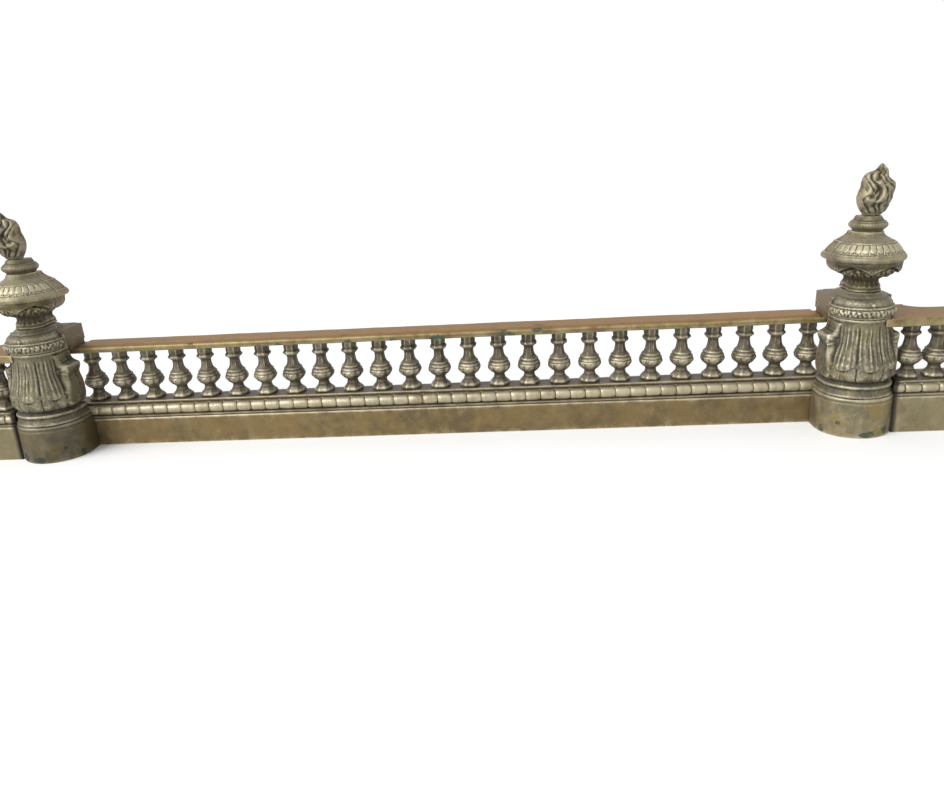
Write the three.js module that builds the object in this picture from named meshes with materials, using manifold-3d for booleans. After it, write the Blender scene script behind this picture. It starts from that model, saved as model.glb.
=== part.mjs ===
// Fire fender.  A long balustrade gallery stands behind two half-relief urn posts, and a short
// gallery wing runs outward from each post.  Millimetres, +Z up, +X to the right, front faces -Y.
import * as THREE from 'three';
import { mergeVertices } from 'three/addons/utils/BufferGeometryUtils.js';
import Module from 'manifold-3d';

const wasm = await Module();
wasm.setup();

// ---------------------------------------------------------------- driving dimensions

const BALUSTER_PITCH = 40;
const CENTRE_BALUSTERS = 25;
const WING_PITCH = 32;
const WING_BALUSTERS = 4;
const BELLY_RADIUS = 15;

const BASE_HEIGHT = 60.5;
const BALUSTER_HEIGHT = 69.5;
// The wings' ledge and rail stand this much above the gallery's.
const WING_RISE = 4;
const RAIL_THICKNESS = 10.5;
const CENTRE_DEPTH = 42;
const WING_DEPTH = 56;
const WALL = 4.5;

const POST_RADIUS = 45;
const FOOT_HEIGHT = 50;
const SOCLE_HEIGHT = 18;
const CAPITAL_HEIGHT = 30;
const URN_HEIGHT = 36;
const LID_HEIGHT = 34;
const COLLAR_HEIGHT = 17.5;
const FLAME_HEIGHT = 58;
const TIE_ROD_RADIUS = 4;

// Clearance that every seated pair of pieces keeps.
const SEAT = 0.3;

// ---------------------------------------------------------------- derived places

const RAIL_UNDERSIDE = BASE_HEIGHT + BALUSTER_HEIGHT;
const RAIL_TOP = RAIL_UNDERSIDE + RAIL_THICKNESS;
const GROOVE_DEPTH = 2.5;
const GROOVE_HALF_WIDTH = 6.2;

// The gallery base's round bead stands proud of the plinth face by this share of its radius, and
// the posts' flat backs clear it.
const BEAD_PROUD = 0.45;
const GALLERY_BEAD_LOW = BASE_HEIGHT * 0.7;
const GALLERY_BEAD_HIGH = BASE_HEIGHT * 0.945;
const POST_TO_GALLERY = BEAD_PROUD * (GALLERY_BEAD_HIGH - GALLERY_BEAD_LOW) / 2 + SEAT;

// Depths are measured from the gallery's own centre line at first, then the whole fender is moved
// so that its origin lies under the middle of its overall box.
const GALLERY_FRONT = -CENTRE_DEPTH / 2;
const FACE_FRONT = GALLERY_FRONT - 3;
const LEDGE_BACK = BELLY_RADIUS - 1.5;
const POST_BACK = 17;
const POST_Y = FACE_FRONT - POST_TO_GALLERY - POST_BACK;
const CAPITAL_BACK = CENTRE_DEPTH / 2 - POST_Y - 12;
const DEPTH_SHIFT = -(CENTRE_DEPTH / 2 + POST_Y - POST_RADIUS) / 2;

const OUTER_BALUSTER_X = BALUSTER_PITCH * (CENTRE_BALUSTERS - 1) / 2;
const POST_X = OUTER_BALUSTER_X + POST_RADIUS;
const GALLERY_HALF = OUTER_BALUSTER_X + BELLY_RADIUS + 22;

const FIRST_WING_BALUSTER = POST_RADIUS + BELLY_RADIUS + 2;
const PILASTER_HALF_WIDTH = 14;
const PILASTER_X = FIRST_WING_BALUSTER + WING_PITCH * WING_BALUSTERS;
const WING_END = PILASTER_X + PILASTER_HALF_WIDTH + 6;
const WING_BASE_HEIGHT = BASE_HEIGHT + WING_RISE;
const WING_RAIL_UNDERSIDE = RAIL_UNDERSIDE + WING_RISE;
const WING_RAIL_TOP = RAIL_TOP + WING_RISE;
const WING_FRONT = -WING_DEPTH / 2 + 2;
const WING_BACK = WING_DEPTH / 2 + 2;

const CAPITAL_RADIUS = POST_RADIUS * 0.83;
const VASE_NECK_RADIUS = POST_RADIUS * 0.73;
const NECK_RING_RADIUS = POST_RADIUS * 0.42;
const LIP_RADIUS = POST_RADIUS * 0.955;
// The gallery rail's ends are let down under a pad on each capital.
const LAP_DEPTH = 2.5;
const LAP_TOP = RAIL_TOP - LAP_DEPTH;
const LAP_START = POST_X - CAPITAL_RADIUS - SEAT;
const VASE_BOTTOM = FOOT_HEIGHT + SEAT;
const CAPITAL_BOTTOM = WING_RAIL_TOP + SEAT;
const VASE_TOP = CAPITAL_BOTTOM - SEAT;
const URN_BOTTOM = CAPITAL_BOTTOM + CAPITAL_HEIGHT + SEAT;
const LID_BOTTOM = URN_BOTTOM + URN_HEIGHT + SEAT;
const COLLAR_BOTTOM = LID_BOTTOM + LID_HEIGHT + SEAT;
const FLAME_BOTTOM = COLLAR_BOTTOM + COLLAR_HEIGHT + SEAT;

const URN_BACK = POST_RADIUS * 0.62;
const COLLAR_BACK = POST_RADIUS * 0.31;
const FLAME_BACK = POST_RADIUS * 0.11;
const TIE_ROD_Y = -5;
const FLUTES = 7;

// ---------------------------------------------------------------- materials

const metal = (colour, roughness) => new THREE.MeshStandardMaterial({
  color: colour,
  roughness,
  metalness: 1,
});
const PATINATED_BRASS = metal(0x7d7560, 0.48);
const GOLDEN_BRASS = metal(0x8d7a4c, 0.42);
const RUBBED_BRASS = metal(0x97906f, 0.38);
const STEEL = metal(0x4a4642, 0.55);

// ---------------------------------------------------------------- shaping tools

/** Skins a stack of closed rings, each running counter-clockwise seen from above, into a solid. */
function loft(rings) {
  const points = rings.flat();
  const count = rings[0].length;
  const faces = [];
  for (let level = 0; level + 1 < rings.length; level += 1) {
    for (let step = 0; step < count; step += 1) {
      const next = (step + 1) % count;
      const low = level * count;
      const high = low + count;
      faces.push(low + step, low + next, high + next);
      faces.push(low + step, high + next, high + step);
    }
  }
  const middle = (ring) => ring.reduce((sum, point) => sum.add(point), new THREE.Vector3())
    .divideScalar(count);
  const bottomHub = points.push(middle(rings[0])) - 1;
  const topHub = points.push(middle(rings[rings.length - 1])) - 1;
  const topStart = (rings.length - 1) * count;
  for (let step = 0; step < count; step += 1) {
    const next = (step + 1) % count;
    faces.push(bottomHub, next, step);
    faces.push(topHub, topStart + step, topStart + next);
  }
  const geometry = new THREE.BufferGeometry().setFromPoints(points);
  geometry.setIndex(faces);
  return geometry;
}

/** A round or many-sided ring of one radius, with a flat side to the front. */
function roundRing(radius, z, sides) {
  return Array.from({ length: sides }, (_, step) => {
    const angle = (step + 0.5) * 2 * Math.PI / sides;
    return new THREE.Vector3(radius * Math.cos(angle), radius * Math.sin(angle), z);
  });
}

/** A rectangular ring, for square pillars. */
function squareRing(halfWidth, halfDepth, z) {
  return [[1, 1], [-1, 1], [-1, -1], [1, -1]]
    .map(([x, y]) => new THREE.Vector3(x * halfWidth, y * halfDepth, z));
}

/**
 * The plan section of a half-relief casting: a half round to the front, then straight sides run
 * back to the flat back.  `swell` scales the half round by its place along the arc, 0 to 1.
 */
function reliefRing({ z, radius, side = radius, back, steps, swell = () => 1 }) {
  const shoulder = 1.5;
  const arc = Array.from({ length: steps + 1 }, (_, step) => {
    const place = step / steps;
    const angle = Math.PI * (1 + place);
    const reach = radius * swell(place);
    return new THREE.Vector3(reach * Math.cos(angle), reach * Math.sin(angle), z);
  });
  return [
    new THREE.Vector3(-side, back, z),
    new THREE.Vector3(-side, shoulder, z),
    ...arc,
    new THREE.Vector3(side, shoulder, z),
    new THREE.Vector3(side, back, z),
  ];
}

/** Runs a half-relief moulding up a profile of [height, radius] pairs. */
function reliefMoulding({ bottom, profile, back, steps }) {
  return loft(profile.map(([height, radius]) => reliefRing({
    z: bottom + height,
    radius,
    back,
    steps,
  })));
}

/** Extrudes an outline drawn in depth and height along X. */
function runAlongX(outline, startX, endX) {
  const shape = new THREE.Shape(outline.map(([y, z]) => new THREE.Vector2(y, z)));
  const geometry = new THREE.ExtrudeGeometry(shape, { depth: endX - startX, bevelEnabled: false });
  const turn = new THREE.Matrix4().makeBasis(
    new THREE.Vector3(0, 1, 0),
    new THREE.Vector3(0, 0, 1),
    new THREE.Vector3(1, 0, 0),
  );
  return geometry.applyMatrix4(turn).translate(startX, 0, 0);
}

/** Points along a circular arc in an outline. */
function arcPoints(centreY, centreZ, radius, startAngle, endAngle, steps) {
  return Array.from({ length: steps + 1 }, (_, step) => {
    const angle = startAngle + (endAngle - startAngle) * step / steps;
    return [centreY + radius * Math.cos(angle), centreZ + radius * Math.sin(angle)];
  });
}

function solidOf(geometry) {
  if (geometry.userData.solid) return geometry.userData.solid;
  const bare = geometry.clone();
  bare.deleteAttribute('normal');
  bare.deleteAttribute('uv');
  const merged = mergeVertices(bare, 1e-4);
  return new wasm.Manifold(new wasm.Mesh({
    numProp: 3,
    vertProperties: new Float32Array(merged.attributes.position.array),
    triVerts: new Uint32Array(merged.index.array),
  }));
}

function geometryOf(solid) {
  const mesh = solid.getMesh();
  const geometry = new THREE.BufferGeometry();
  geometry.setAttribute('position', new THREE.BufferAttribute(mesh.vertProperties, 3));
  geometry.setIndex(new THREE.BufferAttribute(mesh.triVerts, 1));
  geometry.userData.solid = solid;
  return geometry;
}

/** Cuts every tool out of the body. */
function cut(body, ...tools) {
  return geometryOf(tools.reduce((solid, tool) => solid.subtract(solidOf(tool)), solidOf(body)));
}

/** Joins pieces of one casting. */
function fuse(first, ...others) {
  return geometryOf(others.reduce((solid, other) => solid.add(solidOf(other)), solidOf(first)));
}

/** An upright cylinder for the tie rod or its clearance hole. */
function uprightPin(radius, bottom, top, sides = 10) {
  return new THREE.CylinderGeometry(radius, radius, top - bottom, sides)
    .rotateX(Math.PI / 2)
    .translate(0, TIE_ROD_Y, (bottom + top) / 2);
}

function tieRodHole(bottom, top) {
  return uprightPin(TIE_ROD_RADIUS + SEAT, bottom, top);
}

function piece(name, geometry, material) {
  const mesh = new THREE.Mesh(geometry, material);
  mesh.name = name;
  return mesh;
}

// ---------------------------------------------------------------- gallery pieces

/**
 * A hollow base moulding, open below: plain plinth face, fillets, round bead, cavetto and a flat
 * ledge with a groove that takes the balusters' tenons.  The wall keeps its thickness behind the
 * bead's lower recess.
 */
function baseOutline({ front, back, height, faceTop, beadLow, beadHigh }) {
  const beadRadius = (beadHigh - beadLow) / 2;
  const beadY = front + beadRadius * (1 - BEAD_PROUD);
  const fillet = 1.5;
  const nose = front + 5;
  const lip = (height - beadHigh) * 0.45;
  const bead = arcPoints(beadY, beadLow + beadRadius, beadRadius, -Math.PI / 2, -Math.PI * 1.5, 6);
  return [
    [front, 0],
    [front + WALL, 0],
    [front + WALL, faceTop - WALL],
    [beadY + WALL, beadLow],
    [beadY + WALL, height - 2 * WALL],
    [back - WALL, height - 2 * WALL],
    [back - WALL, 0],
    [back, 0],
    [back, height],
    [GROOVE_HALF_WIDTH, height],
    [GROOVE_HALF_WIDTH, height - GROOVE_DEPTH],
    [-GROOVE_HALF_WIDTH, height - GROOVE_DEPTH],
    [-GROOVE_HALF_WIDTH, height],
    [nose, height],
    [nose, height - lip],
    [nose + fillet, (height - lip + beadHigh) / 2],
    [beadY + fillet, beadHigh + lip / 4],
    ...bead.reverse(),
    [front + fillet, beadLow - 0.5],
    [front + fillet, faceTop + fillet],
    [front, faceTop],
  ];
}

/** The top bar: flat, with a shallow slope worn down to its front edge. */
function railOutline(front, back) {
  const slopeRun = 9;
  const slopeDrop = RAIL_THICKNESS * 0.23;
  return [
    [front, RAIL_UNDERSIDE + 1],
    [front + 1, RAIL_UNDERSIDE],
    [back, RAIL_UNDERSIDE],
    [back, RAIL_TOP - 1],
    [back - 1, RAIL_TOP],
    [front + slopeRun, RAIL_TOP],
    [front + 1, RAIL_TOP - slopeDrop],
    [front, RAIL_TOP - slopeDrop - 1],
  ];
}

/**
 * A vase baluster: ring under the rail, slender neck, full belly, pinched waist and a spreading
 * eight-sided foot, with a short tenon that stands in the ledge's groove.
 */
function baluster() {
  const sides = 8;
  const tenonRadius = GROOVE_HALF_WIDTH - SEAT;
  const foot = BASE_HEIGHT + SEAT;
  const height = BALUSTER_HEIGHT - 2 * SEAT;
  // Each level: share of the height, share of the belly's radius.
  const shaft = [
    [0, 0.92],
    [0.06, 0.9],
    [0.18, 0.48],
    [0.31, 0.92],
    [0.4, 1],
    [0.5, 0.82],
    [0.62, 0.52],
    [0.84, 0.48],
    [0.88, 0.78],
    [0.95, 0.77],
    [1, 0.66],
  ];
  return loft([
    roundRing(tenonRadius, foot - GROOVE_DEPTH, sides),
    roundRing(tenonRadius, foot, sides),
    ...shaft.map(([share, width]) => roundRing(BELLY_RADIUS * width, foot + share * height, sides)),
  ]);
}

function balusterRow(group, prefix, count, xOf, rise = 0) {
  const shape = baluster();
  for (let index = 0; index < count; index += 1) {
    const name = `${prefix}_${String(index + 1).padStart(2, '0')}`;
    const mesh = piece(name, shape.clone(), RUBBED_BRASS);
    mesh.position.set(xOf(index), 0, rise);
    group.add(mesh);
  }
}

// ---------------------------------------------------------------- post pieces

const SCREW_RADIUS = 3;
const SCREW_X = OUTER_BALUSTER_X + BELLY_RADIUS + 10 - POST_X;
const SCREW_Z = 20;

/** A level pin along Y, for the screw that fixes a post to the gallery, or for its hole. */
function levelPin(radius, startY, endY, sides = 10) {
  return new THREE.CylinderGeometry(radius, radius, endY - startY, sides)
    .translate(SCREW_X, (startY + endY) / 2, SCREW_Z);
}

/** D-shaped foot drum with a stepped rim, cast hollow and open below. */
function postFoot() {
  const steps = 12;
  const drum = reliefMoulding({
    bottom: 0,
    profile: [
      [0, POST_RADIUS],
      [FOOT_HEIGHT - 6, POST_RADIUS],
      [FOOT_HEIGHT - 5, POST_RADIUS - 1.2],
      [FOOT_HEIGHT - 3, POST_RADIUS - 1.2],
      [FOOT_HEIGHT - 2, POST_RADIUS],
      [FOOT_HEIGHT, POST_RADIUS - 0.6],
    ],
    back: POST_BACK,
    steps,
  });
  const hollow = reliefMoulding({
    bottom: -1,
    profile: [[0, POST_RADIUS - WALL], [FOOT_HEIGHT - WALL, POST_RADIUS - WALL]],
    back: POST_BACK - WALL,
    steps: steps / 2,
  });
  return cut(
    drum,
    hollow,
    tieRodHole(0, FOOT_HEIGHT + 1),
    levelPin(SCREW_RADIUS + SEAT, 0, POST_BACK + 1),
  );
}

/**
 * Vase body: ringed socle, then a fluted belly that rises to a slender neck.  Behind the half
 * round a flat block carries a scroll ear on each side.  The back is cast open.
 */
function vaseBody() {
  const height = VASE_TOP - VASE_BOTTOM;
  const rise = height - SOCLE_HEIGHT;
  const block = { neck: VASE_NECK_RADIUS, ear: POST_RADIUS * 0.96, waist: POST_RADIUS * 0.9 };
  // Each level: height, radius, flute depth, half width of the block.
  const levels = [
    [0, POST_RADIUS * 0.93, 0],
    [SOCLE_HEIGHT * 0.28, POST_RADIUS * 0.97, 0],
    [SOCLE_HEIGHT * 0.55, POST_RADIUS * 0.93, 0],
    [SOCLE_HEIGHT * 0.66, POST_RADIUS * 0.87, 0],
    [SOCLE_HEIGHT * 0.84, POST_RADIUS * 0.86, 0],
    [SOCLE_HEIGHT, POST_RADIUS * 0.8, 0],
    [SOCLE_HEIGHT + rise * 0.08, POST_RADIUS * 0.91, 0.05],
    [SOCLE_HEIGHT + rise * 0.2, POST_RADIUS * 0.98, 0.045],
    [SOCLE_HEIGHT + rise * 0.36, POST_RADIUS * 0.94, 0.04, block.waist],
    [SOCLE_HEIGHT + rise * 0.52, POST_RADIUS * 0.85, 0.04, block.waist],
    [SOCLE_HEIGHT + rise * 0.58, POST_RADIUS * 0.82, 0.04, block.ear],
    [SOCLE_HEIGHT + rise * 0.7, POST_RADIUS * 0.77, 0.04, block.ear],
    [SOCLE_HEIGHT + rise * 0.74, POST_RADIUS * 0.76, 0.035, block.waist],
    [SOCLE_HEIGHT + rise * 0.75, POST_RADIUS * 0.75, 0.035, block.neck],
    [RAIL_UNDERSIDE - VASE_BOTTOM - 1, VASE_NECK_RADIUS, 0.03],
    [height, VASE_NECK_RADIUS, 0.03],
  ];
  const steps = FLUTES * 2;
  const body = loft(levels.map(([z, radius, flute, side = radius]) => reliefRing({
    z: VASE_BOTTOM + z,
    radius,
    side,
    back: POST_BACK,
    steps,
    swell: (place) => 1 - flute * (0.5 + 0.5 * Math.cos(place * steps * Math.PI)),
  })));
  const cavity = loft([
    [SOCLE_HEIGHT / 2, POST_RADIUS * 0.7],
    [SOCLE_HEIGHT + rise * 0.2, POST_RADIUS * 0.8],
    [SOCLE_HEIGHT + rise * 0.55, POST_RADIUS * 0.68],
    [height - WALL, VASE_NECK_RADIUS - 1.6 * WALL],
  ].map(([z, radius]) => reliefRing({
    z: VASE_BOTTOM + z,
    radius,
    back: POST_BACK + 1,
    steps: 8,
  })));
  return cut(body, cavity, tieRodHole(VASE_BOTTOM - 1, VASE_TOP + 1));
}

/**
 * Capital: a leaf-and-bead ring under a stepped dome, whose block runs back over the wing's rail
 * and has a pad below it that holds down the end of the gallery's rail.
 */
function capital() {
  const radius = CAPITAL_RADIUS;
  const steps = 12;
  const ringTop = CAPITAL_HEIGHT * 0.5;
  const ring = reliefMoulding({
    bottom: CAPITAL_BOTTOM,
    profile: [
      [0, radius * 0.92],
      [3, radius],
      [ringTop - 4, radius * 1.01],
      [ringTop, radius * 0.98],
      [ringTop + 4, radius * 0.85],
      [ringTop + 7, radius * 0.3],
    ],
    back: CAPITAL_BACK,
    steps,
  });
  const dome = reliefMoulding({
    bottom: CAPITAL_BOTTOM + ringTop - 2,
    profile: [
      [0, radius * 0.9],
      [4, radius * 0.92],
      [8, radius * 0.84],
      [10.5, radius * 0.75],
      [15, radius * 0.62],
      [CAPITAL_HEIGHT - ringTop + 2, NECK_RING_RADIUS * 0.96],
    ],
    back: URN_BACK,
    steps,
  });
  const padBottom = LAP_TOP + SEAT;
  const padTop = CAPITAL_BOTTOM + 2;
  const padFront = POST_BACK + SEAT;
  const padEnd = GALLERY_HALF - POST_X;
  const padStart = -radius * 0.92;
  const padSize = [padEnd - padStart, CAPITAL_BACK - padFront, padTop - padBottom];
  const pad = new THREE.BoxGeometry(...padSize)
    .translate((padEnd + padStart) / 2, (CAPITAL_BACK + padFront) / 2, (padTop + padBottom) / 2);
  return cut(fuse(ring, dome, pad), tieRodHole(CAPITAL_BOTTOM - 1, URN_BOTTOM + 1));
}

/** Urn: a ringed foot and short stem under a shallow gadrooned bowl. */
function urn() {
  const steps = 16;
  const neck = NECK_RING_RADIUS;
  const lip = LIP_RADIUS;
  const part = (share) => URN_HEIGHT * share;
  // Each level: height, radius, gadroon depth.
  const levels = [
    [0, neck * 0.92, 0],
    [part(0.08), neck * 1.02, 0],
    [part(0.2), neck * 0.96, 0],
    [part(0.24), neck * 0.84, 0],
    [part(0.36), neck * 0.8, 0],
    [part(0.46), neck * 1.02, 0.02],
    [part(0.55), lip * 0.64, 0.05],
    [part(0.64), lip * 0.79, 0.05],
    [part(0.78), lip * 0.86, 0.02],
    [URN_HEIGHT, lip * 0.89, 0],
  ];
  const bowl = loft(levels.map(([z, radius, depth]) => reliefRing({
    z: URN_BOTTOM + z,
    radius,
    back: URN_BACK,
    steps,
    swell: (place) => 1 - depth * (0.5 + 0.5 * Math.cos(place * steps * Math.PI)),
  })));
  return cut(bowl, tieRodHole(URN_BOTTOM - 1, LID_BOTTOM + 1));
}

/** Urn lid: a thick rolled lip, a sloping frieze of tongue leaves, a raised ring and a shoulder. */
function urnLid() {
  const steps = 16;
  const lip = LIP_RADIUS;
  const part = (share) => LID_HEIGHT * share;
  // Each level: height, radius, leaf depth.
  const levels = [
    [0, lip * 0.9, 0],
    [part(0.08), lip, 0],
    [part(0.18), lip * 0.99, 0],
    [part(0.25), lip * 0.95, 0],
    [part(0.45), lip * 0.86, 0.05],
    [part(0.6), lip * 0.71, 0],
    [part(0.7), lip * 0.68, 0],
    [part(0.72), lip * 0.6, 0],
    [part(0.8), lip * 0.46, 0],
    [LID_HEIGHT, lip * 0.37, 0],
  ];
  const cover = loft(levels.map(([z, radius, depth]) => reliefRing({
    z: LID_BOTTOM + z,
    radius,
    back: URN_BACK * (0.55 + 0.45 * radius / lip),
    steps,
    swell: (place) => 1 - depth * (0.5 + 0.5 * Math.cos(place * steps * Math.PI)),
  })));
  return cut(cover, tieRodHole(LID_BOTTOM - 1, COLLAR_BOTTOM + 1));
}

/** Collar under the flame: a rolled ring between two small fillets. */
function collar() {
  const ring = NECK_RING_RADIUS * 1.03;
  const part = (share) => COLLAR_HEIGHT * share;
  const body = reliefMoulding({
    bottom: COLLAR_BOTTOM,
    profile: [
      [0, ring * 0.8],
      [part(0.08), ring * 0.92],
      [part(0.3), ring * 1.02],
      [part(0.5), ring * 0.97],
      [part(0.62), ring * 0.84],
      [part(0.76), ring * 0.8],
      [COLLAR_HEIGHT, ring * 0.6],
    ],
    back: COLLAR_BACK,
    steps: 12,
  });
  return cut(body, tieRodHole(COLLAR_BOTTOM - 1, FLAME_BOTTOM + 1));
}

/** One licking tongue of flame: a tapered six-sided horn that sways as it rises. */
function flameTongue({ startX, startY, lean, width, bottom, top, sway }) {
  const levels = 7;
  return loft(Array.from({ length: levels }, (_, level) => {
    const share = level / (levels - 1);
    const radius = width * (0.62 + 0.5 * Math.sin(Math.PI * (0.15 + 0.6 * share))) * (1.04 - share);
    const x = startX + lean * share + sway * Math.sin(Math.PI * 1.6 * share);
    const ring = roundRing(radius, 0, 6);
    return ring.map((point) => new THREE.Vector3(
      x + point.x,
      startY + point.y - 2 * share,
      bottom + (top - bottom) * share,
    ));
  }));
}

/** Flame finial in half relief: a twisting bulb with tongues licking up round it. */
function flame() {
  const width = POST_RADIUS * 0.48;
  const twist = Math.PI * 1.1;
  const steps = 14;
  const bulbHeight = FLAME_HEIGHT * 0.8;
  const bulb = loft([0, 0.07, 0.18, 0.34, 0.5, 0.66, 0.82, 1].map((share) => reliefRing({
    z: FLAME_BOTTOM + share * bulbHeight,
    radius: width * (0.42 + 0.58 * Math.sin(Math.PI * (0.06 + 0.86 * share) ** 0.8)),
    back: FLAME_BACK,
    steps,
    swell: (place) => 1 - 0.12 * Math.sin(place * Math.PI * 5 + share * twist),
  })));
  const tongue = (options) => flameTongue({
    startY: -width * 0.25,
    width: width * 0.42,
    sway: width * 0.16,
    bottom: FLAME_BOTTOM + FLAME_HEIGHT * 0.25,
    ...options,
  });
  const front = fuse(
    bulb,
    tongue({ startX: 0, lean: width * 0.25, top: FLAME_BOTTOM + FLAME_HEIGHT, width: width * 0.6 }),
    tongue({ startX: -width * 0.5, lean: width * 0.15, top: FLAME_BOTTOM + FLAME_HEIGHT * 0.86 }),
    tongue({ startX: width * 0.52, lean: width * 0.1, top: FLAME_BOTTOM + FLAME_HEIGHT * 0.76 }),
    tongue({ startX: -width * 0.72, lean: -width * 0.05, top: FLAME_BOTTOM + FLAME_HEIGHT * 0.6 }),
  );
  const behind = new THREE.BoxGeometry(4 * width, 2 * width, 3 * FLAME_HEIGHT)
    .translate(0, width + FLAME_BACK, FLAME_BOTTOM);
  return cut(front, behind, tieRodHole(FLAME_BOTTOM - 1, FLAME_BOTTOM + FLAME_HEIGHT * 0.36));
}

/** Tie rod that clamps the post's castings together, with a six-sided nut inside the foot. */
function tieRod() {
  const nutTop = FOOT_HEIGHT - WALL - SEAT - 1;
  const nutHeight = 6;
  const rodTop = FLAME_BOTTOM + FLAME_HEIGHT * 0.36 - SEAT;
  const tail = 4;
  const rod = uprightPin(TIE_ROD_RADIUS, nutTop - nutHeight - tail, rodTop);
  const nut = uprightPin(TIE_ROD_RADIUS * 1.9, nutTop - nutHeight, nutTop, 6);
  return fuse(rod, nut);
}

/** Screw through the gallery base into the post's foot, with its head inside the base. */
function footScrew() {
  const headInside = FACE_FRONT + WALL + SEAT - POST_Y;
  const headHeight = 3;
  const shank = levelPin(SCREW_RADIUS, POST_BACK - WALL - 4, headInside + headHeight / 2);
  const head = levelPin(SCREW_RADIUS * 1.9, headInside, headInside + headHeight);
  return fuse(shank, head);
}

function buildPost(side) {
  const post = new THREE.Group();
  const mirror = side === 'left' ? -1 : 1;
  const shapes = {
    foot: [postFoot(), PATINATED_BRASS],
    vase_body: [vaseBody(), PATINATED_BRASS],
    capital: [capital(), PATINATED_BRASS],
    urn: [urn(), PATINATED_BRASS],
    urn_lid: [urnLid(), RUBBED_BRASS],
    collar: [collar(), RUBBED_BRASS],
    flame: [flame(), PATINATED_BRASS],
    tie_rod: [tieRod(), STEEL],
    foot_screw: [footScrew(), STEEL],
  };
  for (const [name, [geometry, material]] of Object.entries(shapes)) {
    post.add(piece(`${side}_${name}`, mirror < 0 ? mirrored(geometry) : geometry, material));
  }
  post.position.set(mirror * POST_X, POST_Y, 0);
  return post;
}

/** The same casting for the other hand, reflected left to right with its faces still outward. */
function mirrored(geometry) {
  const other = geometry.index ? geometry.toNonIndexed() : geometry.clone();
  const place = other.attributes.position;
  for (let corner = 0; corner < place.count; corner += 3) {
    const first = new THREE.Vector3().fromBufferAttribute(place, corner);
    const second = new THREE.Vector3().fromBufferAttribute(place, corner + 1);
    const third = new THREE.Vector3().fromBufferAttribute(place, corner + 2);
    place.setXYZ(corner, -first.x, first.y, first.z);
    place.setXYZ(corner + 1, -third.x, third.y, third.z);
    place.setXYZ(corner + 2, -second.x, second.y, second.z);
  }
  return other;
}

// ---------------------------------------------------------------- wing pieces

/** A post-shaped cutter that copes the wing's ends to the casting they meet. */
function copingTool(radius, bottom, top) {
  return reliefMoulding({
    bottom,
    profile: [[0, radius + SEAT], [top - bottom, radius + SEAT]],
    back: POST_BACK + SEAT,
    steps: 16,
  });
}

function wingBase() {
  const outline = baseOutline({
    front: WING_FRONT,
    back: WING_BACK,
    height: WING_BASE_HEIGHT,
    faceTop: WING_BASE_HEIGHT * 0.66,
    beadLow: WING_BASE_HEIGHT * 0.77,
    beadHigh: WING_BASE_HEIGHT * 0.93,
  });
  const run = runAlongX(outline, POST_RADIUS * 0.5, WING_END);
  const postWidth = 2 * (POST_RADIUS + SEAT);
  const postSide = new THREE.BoxGeometry(postWidth, WING_DEPTH, 3 * WING_BASE_HEIGHT)
    .translate(0, POST_BACK + WING_DEPTH / 2 - 1, 0);
  return cut(run, copingTool(POST_RADIUS, -1, WING_BASE_HEIGHT + 1), postSide);
}

/** The wing's rail widens in a concave sweep near the post, to pass behind it under the capital. */
function wingRail() {
  const kneeEnd = GALLERY_HALF + SEAT - POST_X;
  const kneeX = POST_RADIUS * 1.6;
  const sweep = POST_RADIUS * 0.75;
  const rearY = CAPITAL_BACK;
  const front = WING_FRONT - 2;
  const back = WING_BACK;
  const plan = new THREE.Shape();
  plan.moveTo(kneeEnd, POST_BACK + SEAT);
  plan.lineTo(VASE_NECK_RADIUS * 0.5, POST_BACK + SEAT);
  plan.lineTo(VASE_NECK_RADIUS * 0.5, front);
  plan.lineTo(WING_END + 2, front);
  plan.lineTo(WING_END + 2, back);
  plan.lineTo(kneeX + sweep, back);
  plan.quadraticCurveTo(kneeX, back, kneeX, rearY);
  plan.lineTo(kneeEnd, rearY);
  const bar = new THREE.ExtrudeGeometry(plan, {
    depth: RAIL_THICKNESS - 2,
    bevelEnabled: true,
    bevelThickness: 1,
    bevelSize: 1,
    bevelOffset: -1,
    bevelSegments: 1,
    curveSegments: 6,
  }).translate(0, 0, WING_RAIL_UNDERSIDE + 1);
  return cut(bar, copingTool(VASE_NECK_RADIUS, WING_RAIL_UNDERSIDE - 1, WING_RAIL_TOP + 1));
}

/** Square pilaster that ends the wing's row of balusters. */
function endPilaster() {
  const halfDepth = 16;
  const foot = WING_BASE_HEIGHT + SEAT;
  const height = BALUSTER_HEIGHT - 2 * SEAT;
  const levels = [
    [0, 1],
    [0.1, 1],
    [0.14, 0.8],
    [0.84, 0.8],
    [0.88, 1],
    [1, 1],
  ];
  return loft(levels.map(([share, width]) => squareRing(
    PILASTER_HALF_WIDTH * width,
    halfDepth * width,
    foot + share * height,
  )));
}

function buildWing(side) {
  const wing = new THREE.Group();
  const mirror = side === 'left' ? -1 : 1;
  const handed = (geometry) => (mirror < 0 ? mirrored(geometry) : geometry);
  wing.add(piece(`${side}_wing_base`, handed(wingBase()), PATINATED_BRASS));
  wing.add(piece(`${side}_wing_rail`, handed(wingRail()), GOLDEN_BRASS));
  const row = (index) => mirror * (FIRST_WING_BALUSTER + WING_PITCH * index);
  balusterRow(wing, `${side}_wing_baluster`, WING_BALUSTERS, row, WING_RISE);
  const pilaster = piece(`${side}_end_pilaster`, endPilaster(), PATINATED_BRASS);
  pilaster.position.x = mirror * PILASTER_X;
  wing.add(pilaster);
  wing.position.set(mirror * POST_X, POST_Y, 0);
  return wing;
}

// ---------------------------------------------------------------- centre gallery

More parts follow.
